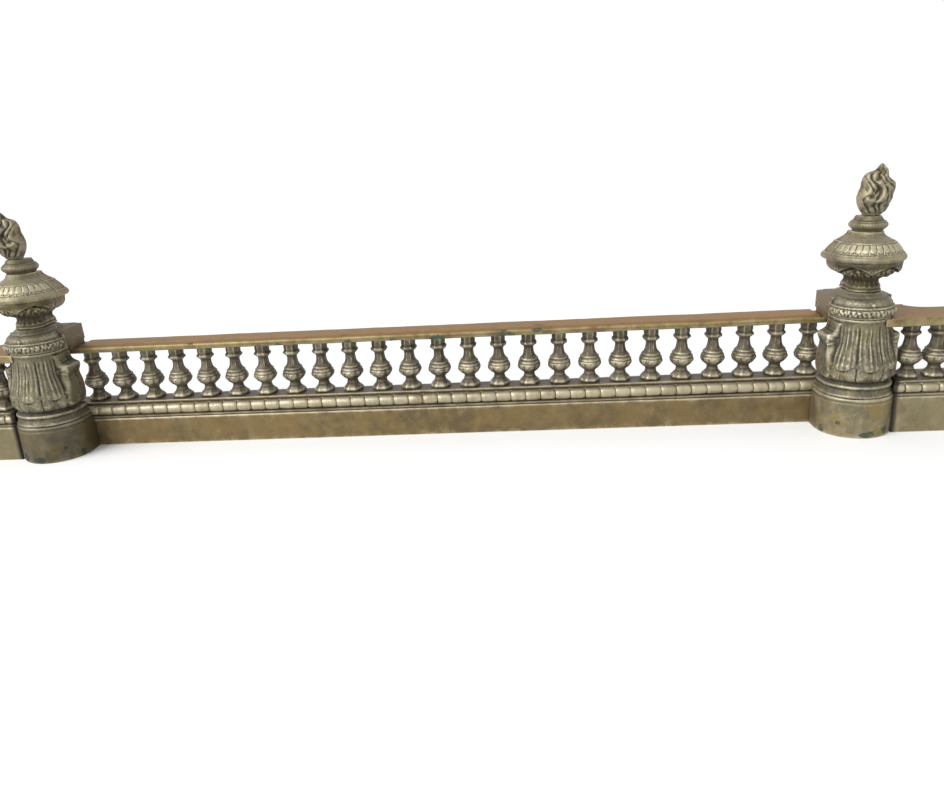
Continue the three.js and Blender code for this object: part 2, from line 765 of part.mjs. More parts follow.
function galleryBase() {
  const outline = baseOutline({
    front: FACE_FRONT,
    back: LEDGE_BACK,
    height: BASE_HEIGHT,
    faceTop: BASE_HEIGHT * 0.615,
    beadLow: GALLERY_BEAD_LOW,
    beadHigh: GALLERY_BEAD_HIGH,
  });
  const screwHole = (mirror) => levelPin(SCREW_RADIUS + SEAT, -10, POST_BACK + POST_TO_GALLERY + 8)
    .translate(mirror * (SCREW_X + POST_X) - SCREW_X, POST_Y, 0);
  return cut(runAlongX(outline, -GALLERY_HALF, GALLERY_HALF), screwHole(-1), screwHole(1));
}

function buildGallery() {
  const gallery = new THREE.Group();
  gallery.add(piece('front_base', galleryBase(), GOLDEN_BRASS));
  const bar = runAlongX(railOutline(GALLERY_FRONT, CENTRE_DEPTH / 2), -GALLERY_HALF, GALLERY_HALF);
  const lap = (mirror) => new THREE.BoxGeometry(GALLERY_HALF, 2 * CENTRE_DEPTH, RAIL_THICKNESS)
    .translate(mirror * (LAP_START + GALLERY_HALF / 2), 0, LAP_TOP + RAIL_THICKNESS / 2);
  gallery.add(piece('front_rail', cut(bar, lap(-1), lap(1)), GOLDEN_BRASS));
  const row = (index) => BALUSTER_PITCH * index - OUTER_BALUSTER_X;
  balusterRow(gallery, 'front_baluster', CENTRE_BALUSTERS, row);
  return gallery;
}

const fender = new THREE.Group();
fender.name = 'fire_fender';
fender.add(buildGallery(), buildPost('left'), buildPost('right'), buildWing('left'), buildWing('right'));
fender.position.y = DEPTH_SHIFT;
fender.updateMatrixWorld(true);

export default fender;
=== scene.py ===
"""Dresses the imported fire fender: cast and aged brass pieces round the fixed frame, and a studio.

The file is laid out as an add-on.  Each operator makes one kind of piece; main() calls them all.
Shapes are drawn in millimetres round their own post or centre line, and become metres when placed.
Heights are over the floor unless a comment gives another start.
"""

import math

import bmesh
import bpy
import numpy as np
from mathutils import Matrix, Vector, noise


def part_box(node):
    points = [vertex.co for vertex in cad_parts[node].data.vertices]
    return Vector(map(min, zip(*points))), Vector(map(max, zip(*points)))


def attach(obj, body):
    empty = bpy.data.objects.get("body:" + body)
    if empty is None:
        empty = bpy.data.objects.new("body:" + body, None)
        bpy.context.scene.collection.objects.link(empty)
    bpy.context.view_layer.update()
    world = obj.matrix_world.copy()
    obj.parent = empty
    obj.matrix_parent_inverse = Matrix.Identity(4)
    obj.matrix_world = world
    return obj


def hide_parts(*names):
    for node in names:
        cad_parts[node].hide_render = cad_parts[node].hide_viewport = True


bl_info = {
    "name": "Fire fender",
    "version": (1, 0, 0),
    "blender": (4, 5, 0),
    "location": "3D View > Sidebar > Fender",
    "description": "Aged brass castings for a fire fender, built round its packed frame",
    "category": "Object",
}

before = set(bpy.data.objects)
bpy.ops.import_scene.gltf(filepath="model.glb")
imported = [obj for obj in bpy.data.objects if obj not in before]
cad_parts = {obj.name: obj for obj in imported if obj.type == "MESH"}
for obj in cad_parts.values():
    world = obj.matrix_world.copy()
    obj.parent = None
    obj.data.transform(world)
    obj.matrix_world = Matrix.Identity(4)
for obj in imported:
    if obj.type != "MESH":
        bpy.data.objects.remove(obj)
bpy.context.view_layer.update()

MM = 0.001


def box_mm(node):
    """A CAD node's lowest and highest corners, in millimetres."""
    low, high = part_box(node)
    return Vector(low) / MM, Vector(high) / MM


FOOT_LOW, FOOT_HIGH = box_mm("right_foot")
VASE_LOW, VASE_HIGH = box_mm("right_vase_body")
CAPITAL_LOW, CAPITAL_HIGH = box_mm("right_capital")
URN_LOW, URN_HIGH = box_mm("right_urn")
LID_LOW, LID_HIGH = box_mm("right_urn_lid")
COLLAR_LOW, COLLAR_HIGH = box_mm("right_collar")
FLAME_LOW, FLAME_HIGH = box_mm("right_flame")
RAIL_LOW, RAIL_HIGH = box_mm("front_rail")
BASE_LOW, BASE_HIGH = box_mm("front_base")
WING_BASE_LOW, WING_BASE_HIGH = box_mm("right_wing_base")
WING_RAIL_LOW, WING_RAIL_HIGH = box_mm("right_wing_rail")
PILASTER_LOW, PILASTER_HIGH = box_mm("right_end_pilaster")
BALUSTER_BASE = box_mm("front_baluster_13")[0].z

POST_RADIUS = (FOOT_HIGH.x - FOOT_LOW.x) / 2
POST_X = (FOOT_HIGH.x + FOOT_LOW.x) / 2
POST_Y = FOOT_LOW.y + POST_RADIUS
POST_BACK = FOOT_HIGH.y - POST_Y
GAP = 0.3              # left between castings that seat on each other
LAP_X = CAPITAL_LOW.x - GAP
LAP_DROP = 2.6         # how far the rail's ends are let down under the capitals
BEAD_SINK = 0.55       # how far a bead's middle lies behind its plinth's face, in bead radii
SIDES = {"left": -1, "right": 1}


# ---------------------------------------------------------------------------- settings

class FenderSizes(bpy.types.PropertyGroup):
    """Sizes that a user would change."""
    ribbon_pitch: bpy.props.FloatProperty(
        name="Ribbon pitch", description="Length of one pillow of the bead moulding",
        default=19.56 * MM, unit="LENGTH")
    leaf_pitch: bpy.props.FloatProperty(
        name="Leaf pitch", description="Angle from one long leaf of the vase to the next",
        default=math.radians(42), subtype="ANGLE")
    leaf_depth: bpy.props.FloatProperty(
        name="Leaf depth", description="How far the vase's leaves stand proud",
        default=1.35 * MM, unit="LENGTH")
    tongue_pitch: bpy.props.FloatProperty(
        name="Tongue pitch", description="Angle from one tongue of the lid's frieze to the next",
        default=math.radians(12.4), subtype="ANGLE")


class FenderColours(bpy.types.PropertyGroup):
    """Colours of the aged brass."""
    olive: bpy.props.FloatVectorProperty(
        name="Olive patina", description="Grey-olive skin of the posts",
        default=(0.185, 0.162, 0.105), subtype="COLOR", min=0, max=1)
    golden: bpy.props.FloatVectorProperty(
        name="Golden brass", description="Warm brown brass of the gallery's plinth and rail",
        default=(0.20, 0.145, 0.063), subtype="COLOR", min=0, max=1)
    # Also the colour of the painted highlight on ridges and on the bead's pillows.
    rubbed: bpy.props.FloatVectorProperty(
        name="Rubbed brass", description="Pale brass where hands and cloths have rubbed",
        default=(0.54, 0.49, 0.345), subtype="COLOR", min=0, max=1)
    # Also the colour of the painted shade in the hollows.
    grime_and_shade: bpy.props.FloatVectorProperty(
        name="Grime_and_shade", description="Dark dirt that has settled in the hollows",
        default=(0.022, 0.018, 0.012), subtype="COLOR", min=0, max=1)
    bare: bpy.props.FloatVectorProperty(
        name="Plain sides", description="Orange-brown metal on the undecorated sides and backs",
        default=(0.185, 0.128, 0.066), subtype="COLOR", min=0, max=1)
    verdigris: bpy.props.FloatVectorProperty(
        name="Verdigris", description="Blue-green bloom",
        default=(0.03, 0.085, 0.048), subtype="COLOR", min=0, max=1)


# ---------------------------------------------------------------------------- small maths

def bell(offset, width):
    """1 at the middle, falling smoothly to nothing a few widths away."""
    return math.exp(-(offset / width) ** 2)


def ramp(start, end, value):
    """Smooth 0 to 1 between start and end, which may run either way."""
    share = min(1.0, max(0.0, (value - start) / (end - start)))
    return share * share * (3 - 2 * share)


def along(table, value):
    """Reads a table of (place, size) pairs in rising places, with straight runs between."""
    return float(np.interp(value, [row[0] for row in table], [row[1] for row in table]))


def dense(points, spacing, soften=2):
    """The same path with a point every `spacing`, its corners softened as worn castings are."""
    path = [Vector(points[0])]
    for start, end in zip(points, points[1:]):
        start, end = Vector(start), Vector(end)
        steps = max(1, round((end - start).length / spacing))
        path += [start.lerp(end, step / steps) for step in range(1, steps + 1)]
    for _ in range(soften):
        path = [path[0]] + [
            (before + middle * 2 + after) / 4
            for before, middle, after in zip(path, path[1:], path[2:])
        ] + [path[-1]]
    return path


# ---------------------------------------------------------------------------- mesh tools

def pull(bm, edges, offset):
    """Extrudes a chain of edges by an offset and returns the new chain's points and edges."""
    made = bmesh.ops.extrude_edge_only(bm, edges=edges)["geom"]
    verts = [item for item in made if isinstance(item, bmesh.types.BMVert)]
    bmesh.ops.translate(bm, vec=offset, verts=verts)
    inside = set(verts)
    chain = [item for item in made
             if isinstance(item, bmesh.types.BMEdge) and set(item.verts) <= inside]
    return verts, chain


def close_up(bm, above=-1e9):
    """Merges doubled points, fills the open rings over a height and turns the faces outwards."""
    bmesh.ops.remove_doubles(bm, verts=bm.verts, dist=1e-4)
    rim = [edge for edge in bm.edges
           if edge.is_boundary and min(vert.co.z for vert in edge.verts) > above]
    if rim:
        bmesh.ops.holes_fill(bm, edges=rim, sides=0)
    bmesh.ops.recalc_face_normals(bm, faces=bm.faces)


def spin_profile(profile, way, angle, steps):
    """Spins (height, radius) points round Z, from the side of X that `way` gives.

    Returns the shape with its first and last lines of edges; a full turn joins the two.
    """
    bm = bmesh.new()
    verts = [bm.verts.new((way * radius, 0, height)) for height, radius in profile]
    first = [bm.edges.new(pair) for pair in zip(verts, verts[1:])]
    spun = bmesh.ops.spin(
        bm, geom=verts + first, cent=(0, 0, 0), axis=(0, 0, 1), angle=angle, steps=steps,
        dvec=(0, 0, 0), use_duplicate=False, use_merge=angle > math.pi, use_normal_flip=False,
        space=Matrix.Identity(4))
    last = [item for item in spun["geom_last"] if isinstance(item, bmesh.types.BMEdge)]
    return bm, first, last


def draw_along(outline, places):
    """Extrudes a closed (depth, height) outline along X from place to place."""
    bm = bmesh.new()
    verts = [bm.verts.new((places[0], y, z)) for y, z in outline]
    chain = [bm.edges.new(pair) for pair in zip(verts, verts[1:] + verts[:1])]
    for before, after in zip(places, places[1:]):
        _, chain = pull(bm, chain, (after - before, 0, 0))
    close_up(bm)
    return bm


def half_round(profile, back, arc_steps, side_steps, hollow=False):
    """A half-relief casting.

    The profile of (height, radius) points is spun round the front, from the left side to the
    right, run straight back to `back` (a depth, or a table of depths by height) and closed.
    A hollow one stays open underneath.
    """
    bm, left, right = spin_profile(profile, -1, math.pi, arc_steps)

    def depth_at(height):
        return along(back, height) if isinstance(back, list) else back

    for chain in (left, right):
        for step in range(side_steps):
            points, chain = pull(bm, chain, (0, 0, 0))
            for point in points:
                point.co.y = depth_at(point.co.z) * ((step + 1) / side_steps) ** 1.5
        if points[0].co.x < 0:
            across, _ = pull(bm, chain, (0, 0, 0))
            for point in across:
                point.co.x = -point.co.x
    # Merged here too, since a second merge takes points that a first one has brought together.
    bmesh.ops.remove_doubles(bm, verts=bm.verts, dist=1e-4)
    close_up(bm, above=profile[0][0] + 1 if hollow else -1e9)
    return bm


def carve(bm, depth_at, bottom, top):
    """Moves each point between two heights out along its normal by depth_at(angle, height, y).

    The angle, in degrees, is 0 at the front and runs to -90 and 90 at the sides.
    """
    bm.normal_update()
    moves = []
    for vert in bm.verts:
        spot = vert.co
        if bottom <= spot.z <= top:
            angle = math.degrees(math.atan2(spot.x, -spot.y)) if spot.y < 0 else (
                math.copysign(90, spot.x))
            moves.append((vert, vert.normal * depth_at(angle, spot.z, spot.y)))
    for vert, move in moves:
        vert.co += move


def roughen(bm, size, height, seed):
    """Gives a cast surface its slight unevenness."""
    bm.normal_update()
    shift = Vector((seed * 17.3, seed * 5.1, seed * 9.7))
    for vert in bm.verts:
        vert.co += vert.normal * height * noise.noise(vert.co / size + shift)


def keep_inside(bm, low, high):
    """Holds every point inside a box."""
    for vert in bm.verts:
        vert.co = Vector(min(max(value, start), end)
                         for value, start, end in zip(vert.co, low, high))


def mark_relief(bm, near=1.1, far=4.5):
    """Stores how far each point stands out of its surroundings, close by and farther off.

    Both attributes are 0.5 on the flat, 1 on a ridge and 0 in a hollow.
    """
    bm.verts.index_update()
    bm.normal_update()
    points = np.array([vert.co[:] for vert in bm.verts])
    normals = np.array([vert.normal[:] for vert in bm.verts])
    pairs = np.array([[vert.index for vert in edge.verts] for edge in bm.edges])
    length = np.linalg.norm(points[pairs[:, 0]] - points[pairs[:, 1]], axis=1)
    typical = float(np.median(length))
    pairs = pairs[length < 4 * typical]
    ends = np.concatenate([pairs[:, 0], pairs[:, 1]])
    others = np.concatenate([pairs[:, 1], pairs[:, 0]])
    count = len(points)
    valence = np.maximum(1, np.bincount(ends, minlength=count))
    smooth = points.copy()
    for name, reach, full in (("worn", near, 0.24), ("raised", far, 1.5)):
        steps = int(min(80, max(1, round((reach / typical) ** 2))))
        for _ in range(steps):
            total = np.stack([np.bincount(ends, smooth[others, axis], minlength=count)
                              for axis in range(3)], axis=1)
            smooth = np.where(valence[:, None] > 1, total / valence[:, None], smooth)
        proud = ((points - smooth) * normals).sum(axis=1) / full
        layer = bm.verts.layers.float.new(name)
        for vert, value in zip(bm.verts, 0.5 + 0.5 * np.tanh(proud)):
            vert[layer] = value


def ease_relief(bm, share_at, worn=0.5, raised=0.5):
    """Draws the two relief attributes towards a level of each by a share for each point."""
    aims = [(bm.verts.layers.float["worn"], worn), (bm.verts.layers.float["raised"], raised)]
    for vert in bm.verts:
        share = share_at(vert)
        for layer, aim in aims:
            vert[layer] += (aim - vert[layer]) * share


def mark(bm, name, value_at):
    """Stores another attribute from a function of a point's place."""
    layer = bm.verts.layers.float.new(name)
    for vert in bm.verts:
        vert[layer] = value_at(vert.co)


def place(bm, name, spot, nodes, paint, mirror=False, crease=40):
    """Makes an object of a shape drawn in millimetres, hangs it under its body, gives it its
    material slot and hides the nodes it stands for.
    """
    copy = bm.copy()
    if mirror:
        bmesh.ops.scale(copy, vec=(-1, 1, 1), verts=copy.verts)
        bmesh.ops.reverse_faces(copy, faces=copy.faces)
    bmesh.ops.translate(copy, vec=spot, verts=copy.verts)
    bmesh.ops.scale(copy, vec=(MM, MM, MM), verts=copy.verts)
    mesh = bpy.data.meshes.new(name)
    copy.to_mesh(mesh)
    copy.free()
    mesh.polygons.foreach_set("use_smooth", [True] * len(mesh.polygons))
    mesh.set_sharp_from_angle(angle=math.radians(crease))
    mesh.materials.append(paint)
    piece = bpy.data.objects.new(name, mesh)
    bpy.context.scene.collection.objects.link(piece)
    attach(piece, "root")
    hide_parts(*nodes)


# Painted shade: the left post's pieces take darker copies of their materials.
LEFT_PAINTED_SHADE = {"foot": 0.5, "olive_post": 0.78, "flame": 0.88, "wing_plinth": 0.8}


def place_on_posts(bm, part, finish, crease=40):
    """Puts one shape on both posts, the left one reflected."""
    for side, way in SIDES.items():
        # The left post's copy is darkened as painted shade.
        tone = LEFT_PAINTED_SHADE.get(finish, 1.0) if way < 0 else 1.0
        place(bm, f"{side}_{part}_cast", (way * POST_X, POST_Y, 0), [f"{side}_{part}"],
              material(finish, tone), mirror=way < 0, crease=crease)


# ---------------------------------------------------------------------------- aged brass

class Wiring:
    """Adds nodes to a tree, each in a column to the right of what feeds it.

    A term is a socket or a plain value.
    """
    COLUMN, ROW = 200, 180

    def __init__(self, tree):
        self.tree = tree

    def feed(self, socket, term):
        """Links a term to a node's input, or sets the input to it."""
        if isinstance(term, bpy.types.NodeSocket):
            self.tree.links.new(term, socket)
            node = socket.node
            node.location.x = max(node.location.x, term.node.location.x + self.COLUMN)
        else:
            socket.default_value = term

    def node(self, kind, settings=(), **terms):
        """A node of a kind with its settings, its inputs fed by name."""
        made = self.tree.nodes.new(kind)
        for key, value in dict(settings).items():
            setattr(made, key, value)
        for key, term in terms.items():
            self.feed(made.inputs[key.replace("_", " ")], term)
        return made

    def stack(self):
        """Stands the nodes of each column under one another."""
        rows = {}
        for node in self.tree.nodes:
            row = rows.get(node.location.x, 0)
            node.location.y = -row * self.ROW
            rows[node.location.x] = row + 1

    def maths(self, sort, first, second):
        """The result of one sum."""
        made = self.node("ShaderNodeMath", dict(operation=sort))
        self.feed(made.inputs[0], first)
        self.feed(made.inputs[1], second)
        return made.outputs[0]

    def times(self, first, second):
        """One term times another."""
        return self.maths("MULTIPLY", first, second)

    def less(self, first, second):
        """One term less another."""
        return self.maths("SUBTRACT", first, second)

    def total(self, *parts, base=None):
        """The sum of (term, share) pairs, each term times its share, over a base."""
        for term, share in parts:
            part = self.times(term, share)
            base = part if base is None else self.maths("ADD", base, part)
        return base

    def span(self, value, low, high):
        """Smoothly turns a value between low and high into 0 to 1."""
        return self.node("ShaderNodeMapRange", dict(interpolation_type="SMOOTHSTEP"),
                         Value=value, From_Min=low, From_Max=high).outputs["Result"]

    def mix(self, factor, first, second):
        """Mixes two colours by a factor."""
        made = self.node("ShaderNodeMix", dict(data_type="RGBA"), Factor=factor)
        self.feed(made.inputs[6], first)
        self.feed(made.inputs[7], second)
        return made.outputs[2]


BRASS_COLOURS = ("Metal", "Mottle", "Tint", "Top", "Bare", "Rubbed_and_highlight", "Grime_and_shade", "Verdigris")
BRASS_SHARES = ("Rub_and_highlight", "Dirt_and_shade", "Dust")
BRASS_RESULTS = ("Roughness", "Metallic", "Height")


def patina_group():
    """The node group that ages brass: mottling, rubbed ridges with a painted highlight, dark dirt
    with painted shade in the hollows, dust and verdigris.
    """
    name = "Aged brass"
    if name in bpy.data.node_groups:
        return bpy.data.node_groups[name]
    tree = bpy.data.node_groups.new(name, "ShaderNodeTree")
    for titles, way, kind in ((BRASS_COLOURS, "INPUT", "Color"), (BRASS_SHARES, "INPUT", "Float"),
                              (["Colour"], "OUTPUT", "Color"), (BRASS_RESULTS, "OUTPUT", "Float")):
        for title in titles:
            tree.interface.new_socket(name=title, in_out=way, socket_type=f"NodeSocket{kind}")
    wire = Wiring(tree)
    given = wire.node("NodeGroupInput").outputs
    spot = wire.node("ShaderNodeTexCoord").outputs

    def cloud(scale, detail, rough=0.6):
        return wire.node("ShaderNodeTexNoise", Vector=spot["Object"], Scale=scale, Detail=detail,
                         Roughness=rough).outputs["Fac"]

    def attribute(title):
        read = dict(attribute_name=title, attribute_type="GEOMETRY")
        return wire.node("ShaderNodeAttribute", read).outputs["Fac"]

    broad, drift, middle = cloud(11, 4), cloud(36, 6, 0.7), cloud(70, 6, 0.65)
    fine, speck = cloud(420, 5, 0.7), cloud(1500, 2)
    uneven = wire.less(middle, 0.5)
    worn, raised = attribute("worn"), attribute("raised")

    # Mottled body colour, in two sizes of cloud.
    blotch = wire.span(wire.total((broad, 0.45), (middle, 0.55)), 0.38, 0.60)
    body = wire.mix(blotch, given["Mottle"], given["Metal"])
    body = wire.mix(wire.times(wire.span(drift, 0.44, 0.62), 0.72), body, given["Tint"])

    # Plain sides and backs.
    plain = wire.times(attribute("bare"), wire.span(middle, 0.25, 0.6))
    body = wire.mix(plain, body, given["Bare"])

    # Dust and tone on what faces up.
    up = wire.node("ShaderNodeSeparateXYZ", Vector=spot["Normal"]).outputs["Z"]
    dust = wire.times(given["Dust"], wire.span(middle, 0.2, 0.55))
    body = wire.mix(wire.times(wire.span(up, 0.55, 0.95), dust), body, given["Top"])

    # Ridges rubbed pale with a painted highlight, and paler pillows with a painted highlight on
    # their upper halves, broken up by the fine cloud.
    broken = wire.total((worn, 0.50), (raised, 0.50), (uneven, 0.55), (wire.less(fine, 0.5), 0.30))
    ridges = wire.times(wire.span(broken, 0.52, 0.96), given["Rub_and_highlight"])
    pillows = wire.times(attribute("pale"), wire.span(broken, 0.18, 0.62))
    rubbed = wire.maths("MAXIMUM", ridges, pillows)
    body = wire.mix(rubbed, body, given["Rubbed_and_highlight"])

    # Dark dirt and painted shade in the hollows.
    low = wire.less(0.5, wire.total((worn, 0.55), (raised, 0.45)))
    settled = wire.span(wire.total((uneven, 0.20), base=low), 0.0, 0.29)
    grime_and_shade = wire.times(settled, given["Dirt_and_shade"])
    body = wire.mix(grime_and_shade, body, given["Grime_and_shade"])

    # Dark spots and pits of the casting.
    pits = wire.times(wire.span(fine, 0.585, 0.70), 0.6)
    body = wire.mix(pits, body, given["Grime_and_shade"])

    # Verdigris where it is marked, torn by the clouds: a dark film with paler crusts.
    torn = wire.total((middle, 1.5), (fine, 1.3))
    stain = wire.maths("ADD", attribute("green"), torn)
    film = wire.times(wire.span(stain, 2.14, 2.40), 0.88)
    body = wire.mix(film, body, wire.mix(0.40, given["Grime_and_shade"], given["Verdigris"]))
    crust = wire.times(wire.span(stain, 2.60, 2.72), 0.8)
    body = wire.mix(crust, body, given["Verdigris"])

    dull = wire.total((middle, 0.20), (rubbed, -0.14), (grime_and_shade, 0.22), (film, 0.3), base=0.42)
    metallic = wire.total((grime_and_shade, -0.45), (film, -0.6), base=0.55)
    height = wire.total((fine, 0.6), (speck, 0.25), (pits, -0.8))
    wire.node("NodeGroupOutput", Colour=body, Roughness=wire.maths("MINIMUM", dull, 0.95),
              Metallic=wire.maths("MAXIMUM", metallic, 0.05), Height=height)
    wire.stack()
    return tree


def brass_values(finish):
    """What one finish feeds the aged brass group: its colours, then its shares of rubbing with a
    painted highlight, of dirt with painted shade, and of dust.
    """
    paint = bpy.context.scene.fender_colours
    own = {
        "olive_post": dict(
            Metal=paint.olive, Mottle=(0.105, 0.092, 0.062), Tint=(0.20, 0.175, 0.085),
            Top=(0.145, 0.125, 0.10), Rub_and_highlight=0.85, Dirt_and_shade=0.95, Dust=0.6),
        "olive_dark": dict(
            Metal=(0.105, 0.086, 0.042), Mottle=(0.048, 0.038, 0.02), Tint=(0.125, 0.10, 0.038),
            Top=(0.14, 0.12, 0.09), Rub_and_highlight=0.42, Dirt_and_shade=1.0, Dust=0.5),
        "flame": dict(
            Metal=(0.152, 0.13, 0.08), Mottle=(0.08, 0.067, 0.04), Tint=(0.15, 0.122, 0.052),
            Top=(0.15, 0.13, 0.09), Rub_and_highlight=0.36, Dirt_and_shade=0.78, Dust=0.4),
        "foot": dict(
            Metal=(0.245, 0.20, 0.115), Mottle=(0.135, 0.12, 0.075), Tint=(0.25, 0.185, 0.058),
            Top=(0.125, 0.105, 0.085), Rub_and_highlight=0.75, Dirt_and_shade=0.9, Dust=0.75),
        "wing_plinth": dict(
            Metal=(0.28, 0.228, 0.13), Mottle=(0.175, 0.14, 0.08), Tint=(0.235, 0.205, 0.105),
            Top=(0.125, 0.11, 0.09), Rub_and_highlight=0.75, Dirt_and_shade=0.9, Dust=0.85),
        "baluster": dict(
            Metal=(0.165, 0.132, 0.093), Mottle=(0.07, 0.055, 0.04), Tint=(0.14, 0.125, 0.07),
            Top=(0.14, 0.115, 0.09), Rub_and_highlight=0.85, Dirt_and_shade=1.0, Dust=0.3),
        "plinth": dict(
            Metal=paint.golden, Mottle=(0.128, 0.094, 0.045), Tint=(0.20, 0.135, 0.048),
            Top=(0.10, 0.08, 0.067), Rub_and_highlight=0.85, Dirt_and_shade=1.0, Dust=0.95),
        "rail": dict(
            Metal=(0.235, 0.165, 0.058), Mottle=(0.13, 0.085, 0.032), Tint=(0.205, 0.16, 0.046),
            Top=(0.245, 0.128, 0.034), Rub_and_highlight=0.38, Dirt_and_shade=0.8, Dust=0.95),
        "lid": dict(
            Metal=(0.275, 0.235, 0.148), Mottle=(0.15, 0.125, 0.075), Tint=(0.24, 0.215, 0.11),
            Top=(0.26, 0.23, 0.17), Rub_and_highlight=0.75, Dirt_and_shade=1.0, Dust=0.5),
    }[finish]
    return dict(own, Bare=paint.bare, Rubbed_and_highlight=paint.rubbed, Grime_and_shade=paint.grime_and_shade,
                Verdigris=paint.verdigris)


def shade(colour, factor):
    """A colour made darker or lighter, with its alpha."""
    return tuple(min(1.0, channel * factor) for channel in colour) + (1.0,)


def material(finish, tone=1.0):
    """One of the fender's finishes, built the first time it is asked for."""
    # A tone under 1 makes a darker copy of the finish, painted shade for the left post.
    title = finish.replace("_", " ").capitalize() + (" tarnished" if tone < 1 else "")
    if title in bpy.data.materials:
        return bpy.data.materials[title]
    made = bpy.data.materials.new(title)
    made.use_nodes = True
    made.node_tree.nodes.clear()
    wire = Wiring(made.node_tree)
    aged = wire.node("ShaderNodeGroup", dict(node_tree=patina_group()))
    for key, value in brass_values(finish).items():
        aged.inputs[key].default_value = shade(value, tone) if key in BRASS_COLOURS else value
    cast = aged.outputs
    bump = wire.node("ShaderNodeBump", Height=cast["Height"], Strength=0.8, Distance=0.0006)
    shader = wire.node(
        "ShaderNodeBsdfPrincipled", Base_Color=cast["Colour"], Roughness=cast["Roughness"],
        Metallic=cast["Metallic"], Normal=bump.outputs["Normal"])
    wire.node("ShaderNodeOutputMaterial", Surface=shader.outputs[0])
    wire.stack()
    return made


def plain_material(title, **values):
    """A new material and its plain shader, with the shader's inputs set by name."""
    made = bpy.data.materials.new(title)
    made.use_nodes = True
    shader = made.node_tree.nodes["Principled BSDF"]
    for key, value in values.items():
        shader.inputs[key.replace("_", " ")].default_value = value
    return made, shader


def steel_material():
    """Browned steel for the rods and screws."""
    made, shader = plain_material("Browned steel", Metallic=1, Roughness=0.5)
    wire = Wiring(made.node_tree)
    spot = wire.node("ShaderNodeTexCoord").outputs["Object"]
    cloud = wire.node("ShaderNodeTexNoise", Vector=spot, Scale=180, Detail=4).outputs["Fac"]
    wire.feed(shader.inputs["Base Color"],
              wire.mix(cloud, (0.06, 0.04, 0.03, 1), (0.22, 0.19, 0.17, 1)))
    return made


# ---------------------------------------------------------------------------- balusters

def baluster_shape():
    """A cast baluster: angular cap, fluted neck, leafy belly and a spreading eight-sided foot."""
    base, foot, top = BALUSTER_BASE, BASE_HIGH.z, RAIL_LOW.z
    spigot = 5.6
    turning = [
        (GAP, 12.6), (1.2, 13.4), (2.4, 14.0), (3.6, 13.9), (4.6, 13.1), (6.0, 11.5),
        (8.0, 9.4), (9.6, 8.0), (10.6, 7.4), (11.4, 7.9), (12.2, 7.6), (13.0, 7.0),
        (14.6, 7.0), (16.0, 7.8), (18.0, 10.2), (20.4, 12.7), (23.4, 14.6), (26.4, 15.1),
        (29.4, 14.5), (32.0, 13.2), (33.6, 12.2), (34.6, 12.5), (35.8, 11.8), (37.0, 10.4),
        (39.0, 8.9), (42.0, 7.7), (46.0, 7.0), (50.0, 6.8), (51.6, 7.2), (52.8, 8.6),
        (54.4, 10.6), (56.0, 11.4), (57.4, 11.0), (58.8, 9.6), (59.8, 9.0), (61.4, 9.5),
        (68.0, 9.6)]
    profile = dense(
        [(base, spigot), (foot - 0.1, spigot), (foot + GAP, spigot + 0.2)]
        + [(foot + level, radius) for level, radius in turning]
        + [(top - GAP, 9.4), (top - GAP, 1.0)], 0.9, soften=1)
    bm, _, _ = spin_profile(profile, 1, 2 * math.pi, 64)
    close_up(bm)

    def relief(turn, level):
        """Radial share and bump, by angle in degrees from the front and height over the foot."""
        half = 22.5     # half of one of eight facets
        facet = (turn + half) % (2 * half) - half
        flat = math.cos(math.radians(half)) / math.cos(math.radians(facet))
        squared = ramp(11.5, 9.5, level) + ramp(52.0, 54.0, level)
        share = 1 + (flat / 0.965 - 1) * min(1, squared)
        panel = ramp(38, 40.5, level) * ramp(51.6, 50.2, level) * ramp(19.5, 14.5, abs(facet))
        bump = -0.7 * panel
        lobe = (turn + 30) % 60 - 30
        girth = 14.8    # radius of the belly
        across = girth * math.radians(lobe)
        belly = level - 23.5
        bump += 0.6 * bell(math.hypot(across / 5.2, belly / 6.0) ** 2, 0.9)
        eye = girth * math.radians(30 - abs(lobe))
        bump -= 0.45 * bell(math.hypot(eye / 1.6, (belly - 1.0) / 5.5), 0.8)
        bump += 0.25 * bell(math.hypot(across / 3.2, (belly + 1) / 4.2) - 1, 0.2)
        line = level - 0.45 * noise.noise((turn / 14, 0.2, 0.7))
        bump += 0.45 * bell(line - 30.4, 0.9) - 0.5 * bell(line - 28.6, 0.7)
        bump += 0.35 * bell(level - 34.6, 0.8) - 0.3 * bell(level - 32.9, 0.6)
        bump += 0.28 * noise.noise((turn / 7, level / 2.2, 3.1)) * ramp(17, 20, level) * ramp(
            29, 26, level)
        bump -= 0.35 * bell(level - 17.6, 0.9)
        bump += 0.3 * bell(level - 7.4 - 0.05 * abs(facet), 0.7)
        return share, bump

    for vert in bm.verts:
        radius = math.hypot(vert.co.x, vert.co.y)
        if radius > spigot + 0.4 and vert.co.z > foot:
            turn = math.degrees(math.atan2(vert.co.x, -vert.co.y))
            share, bump = relief(turn, vert.co.z - foot)
            scale = share + bump / radius
            vert.co.x *= scale
            vert.co.y *= scale
    roughen(bm, 5, 0.35, 3)
    mark_relief(bm)
    ease_relief(bm, lambda vert: 0.75 * ramp(0.55, 1.0, abs(vert.normal.x)), 0.32, 0.32)
    return bm


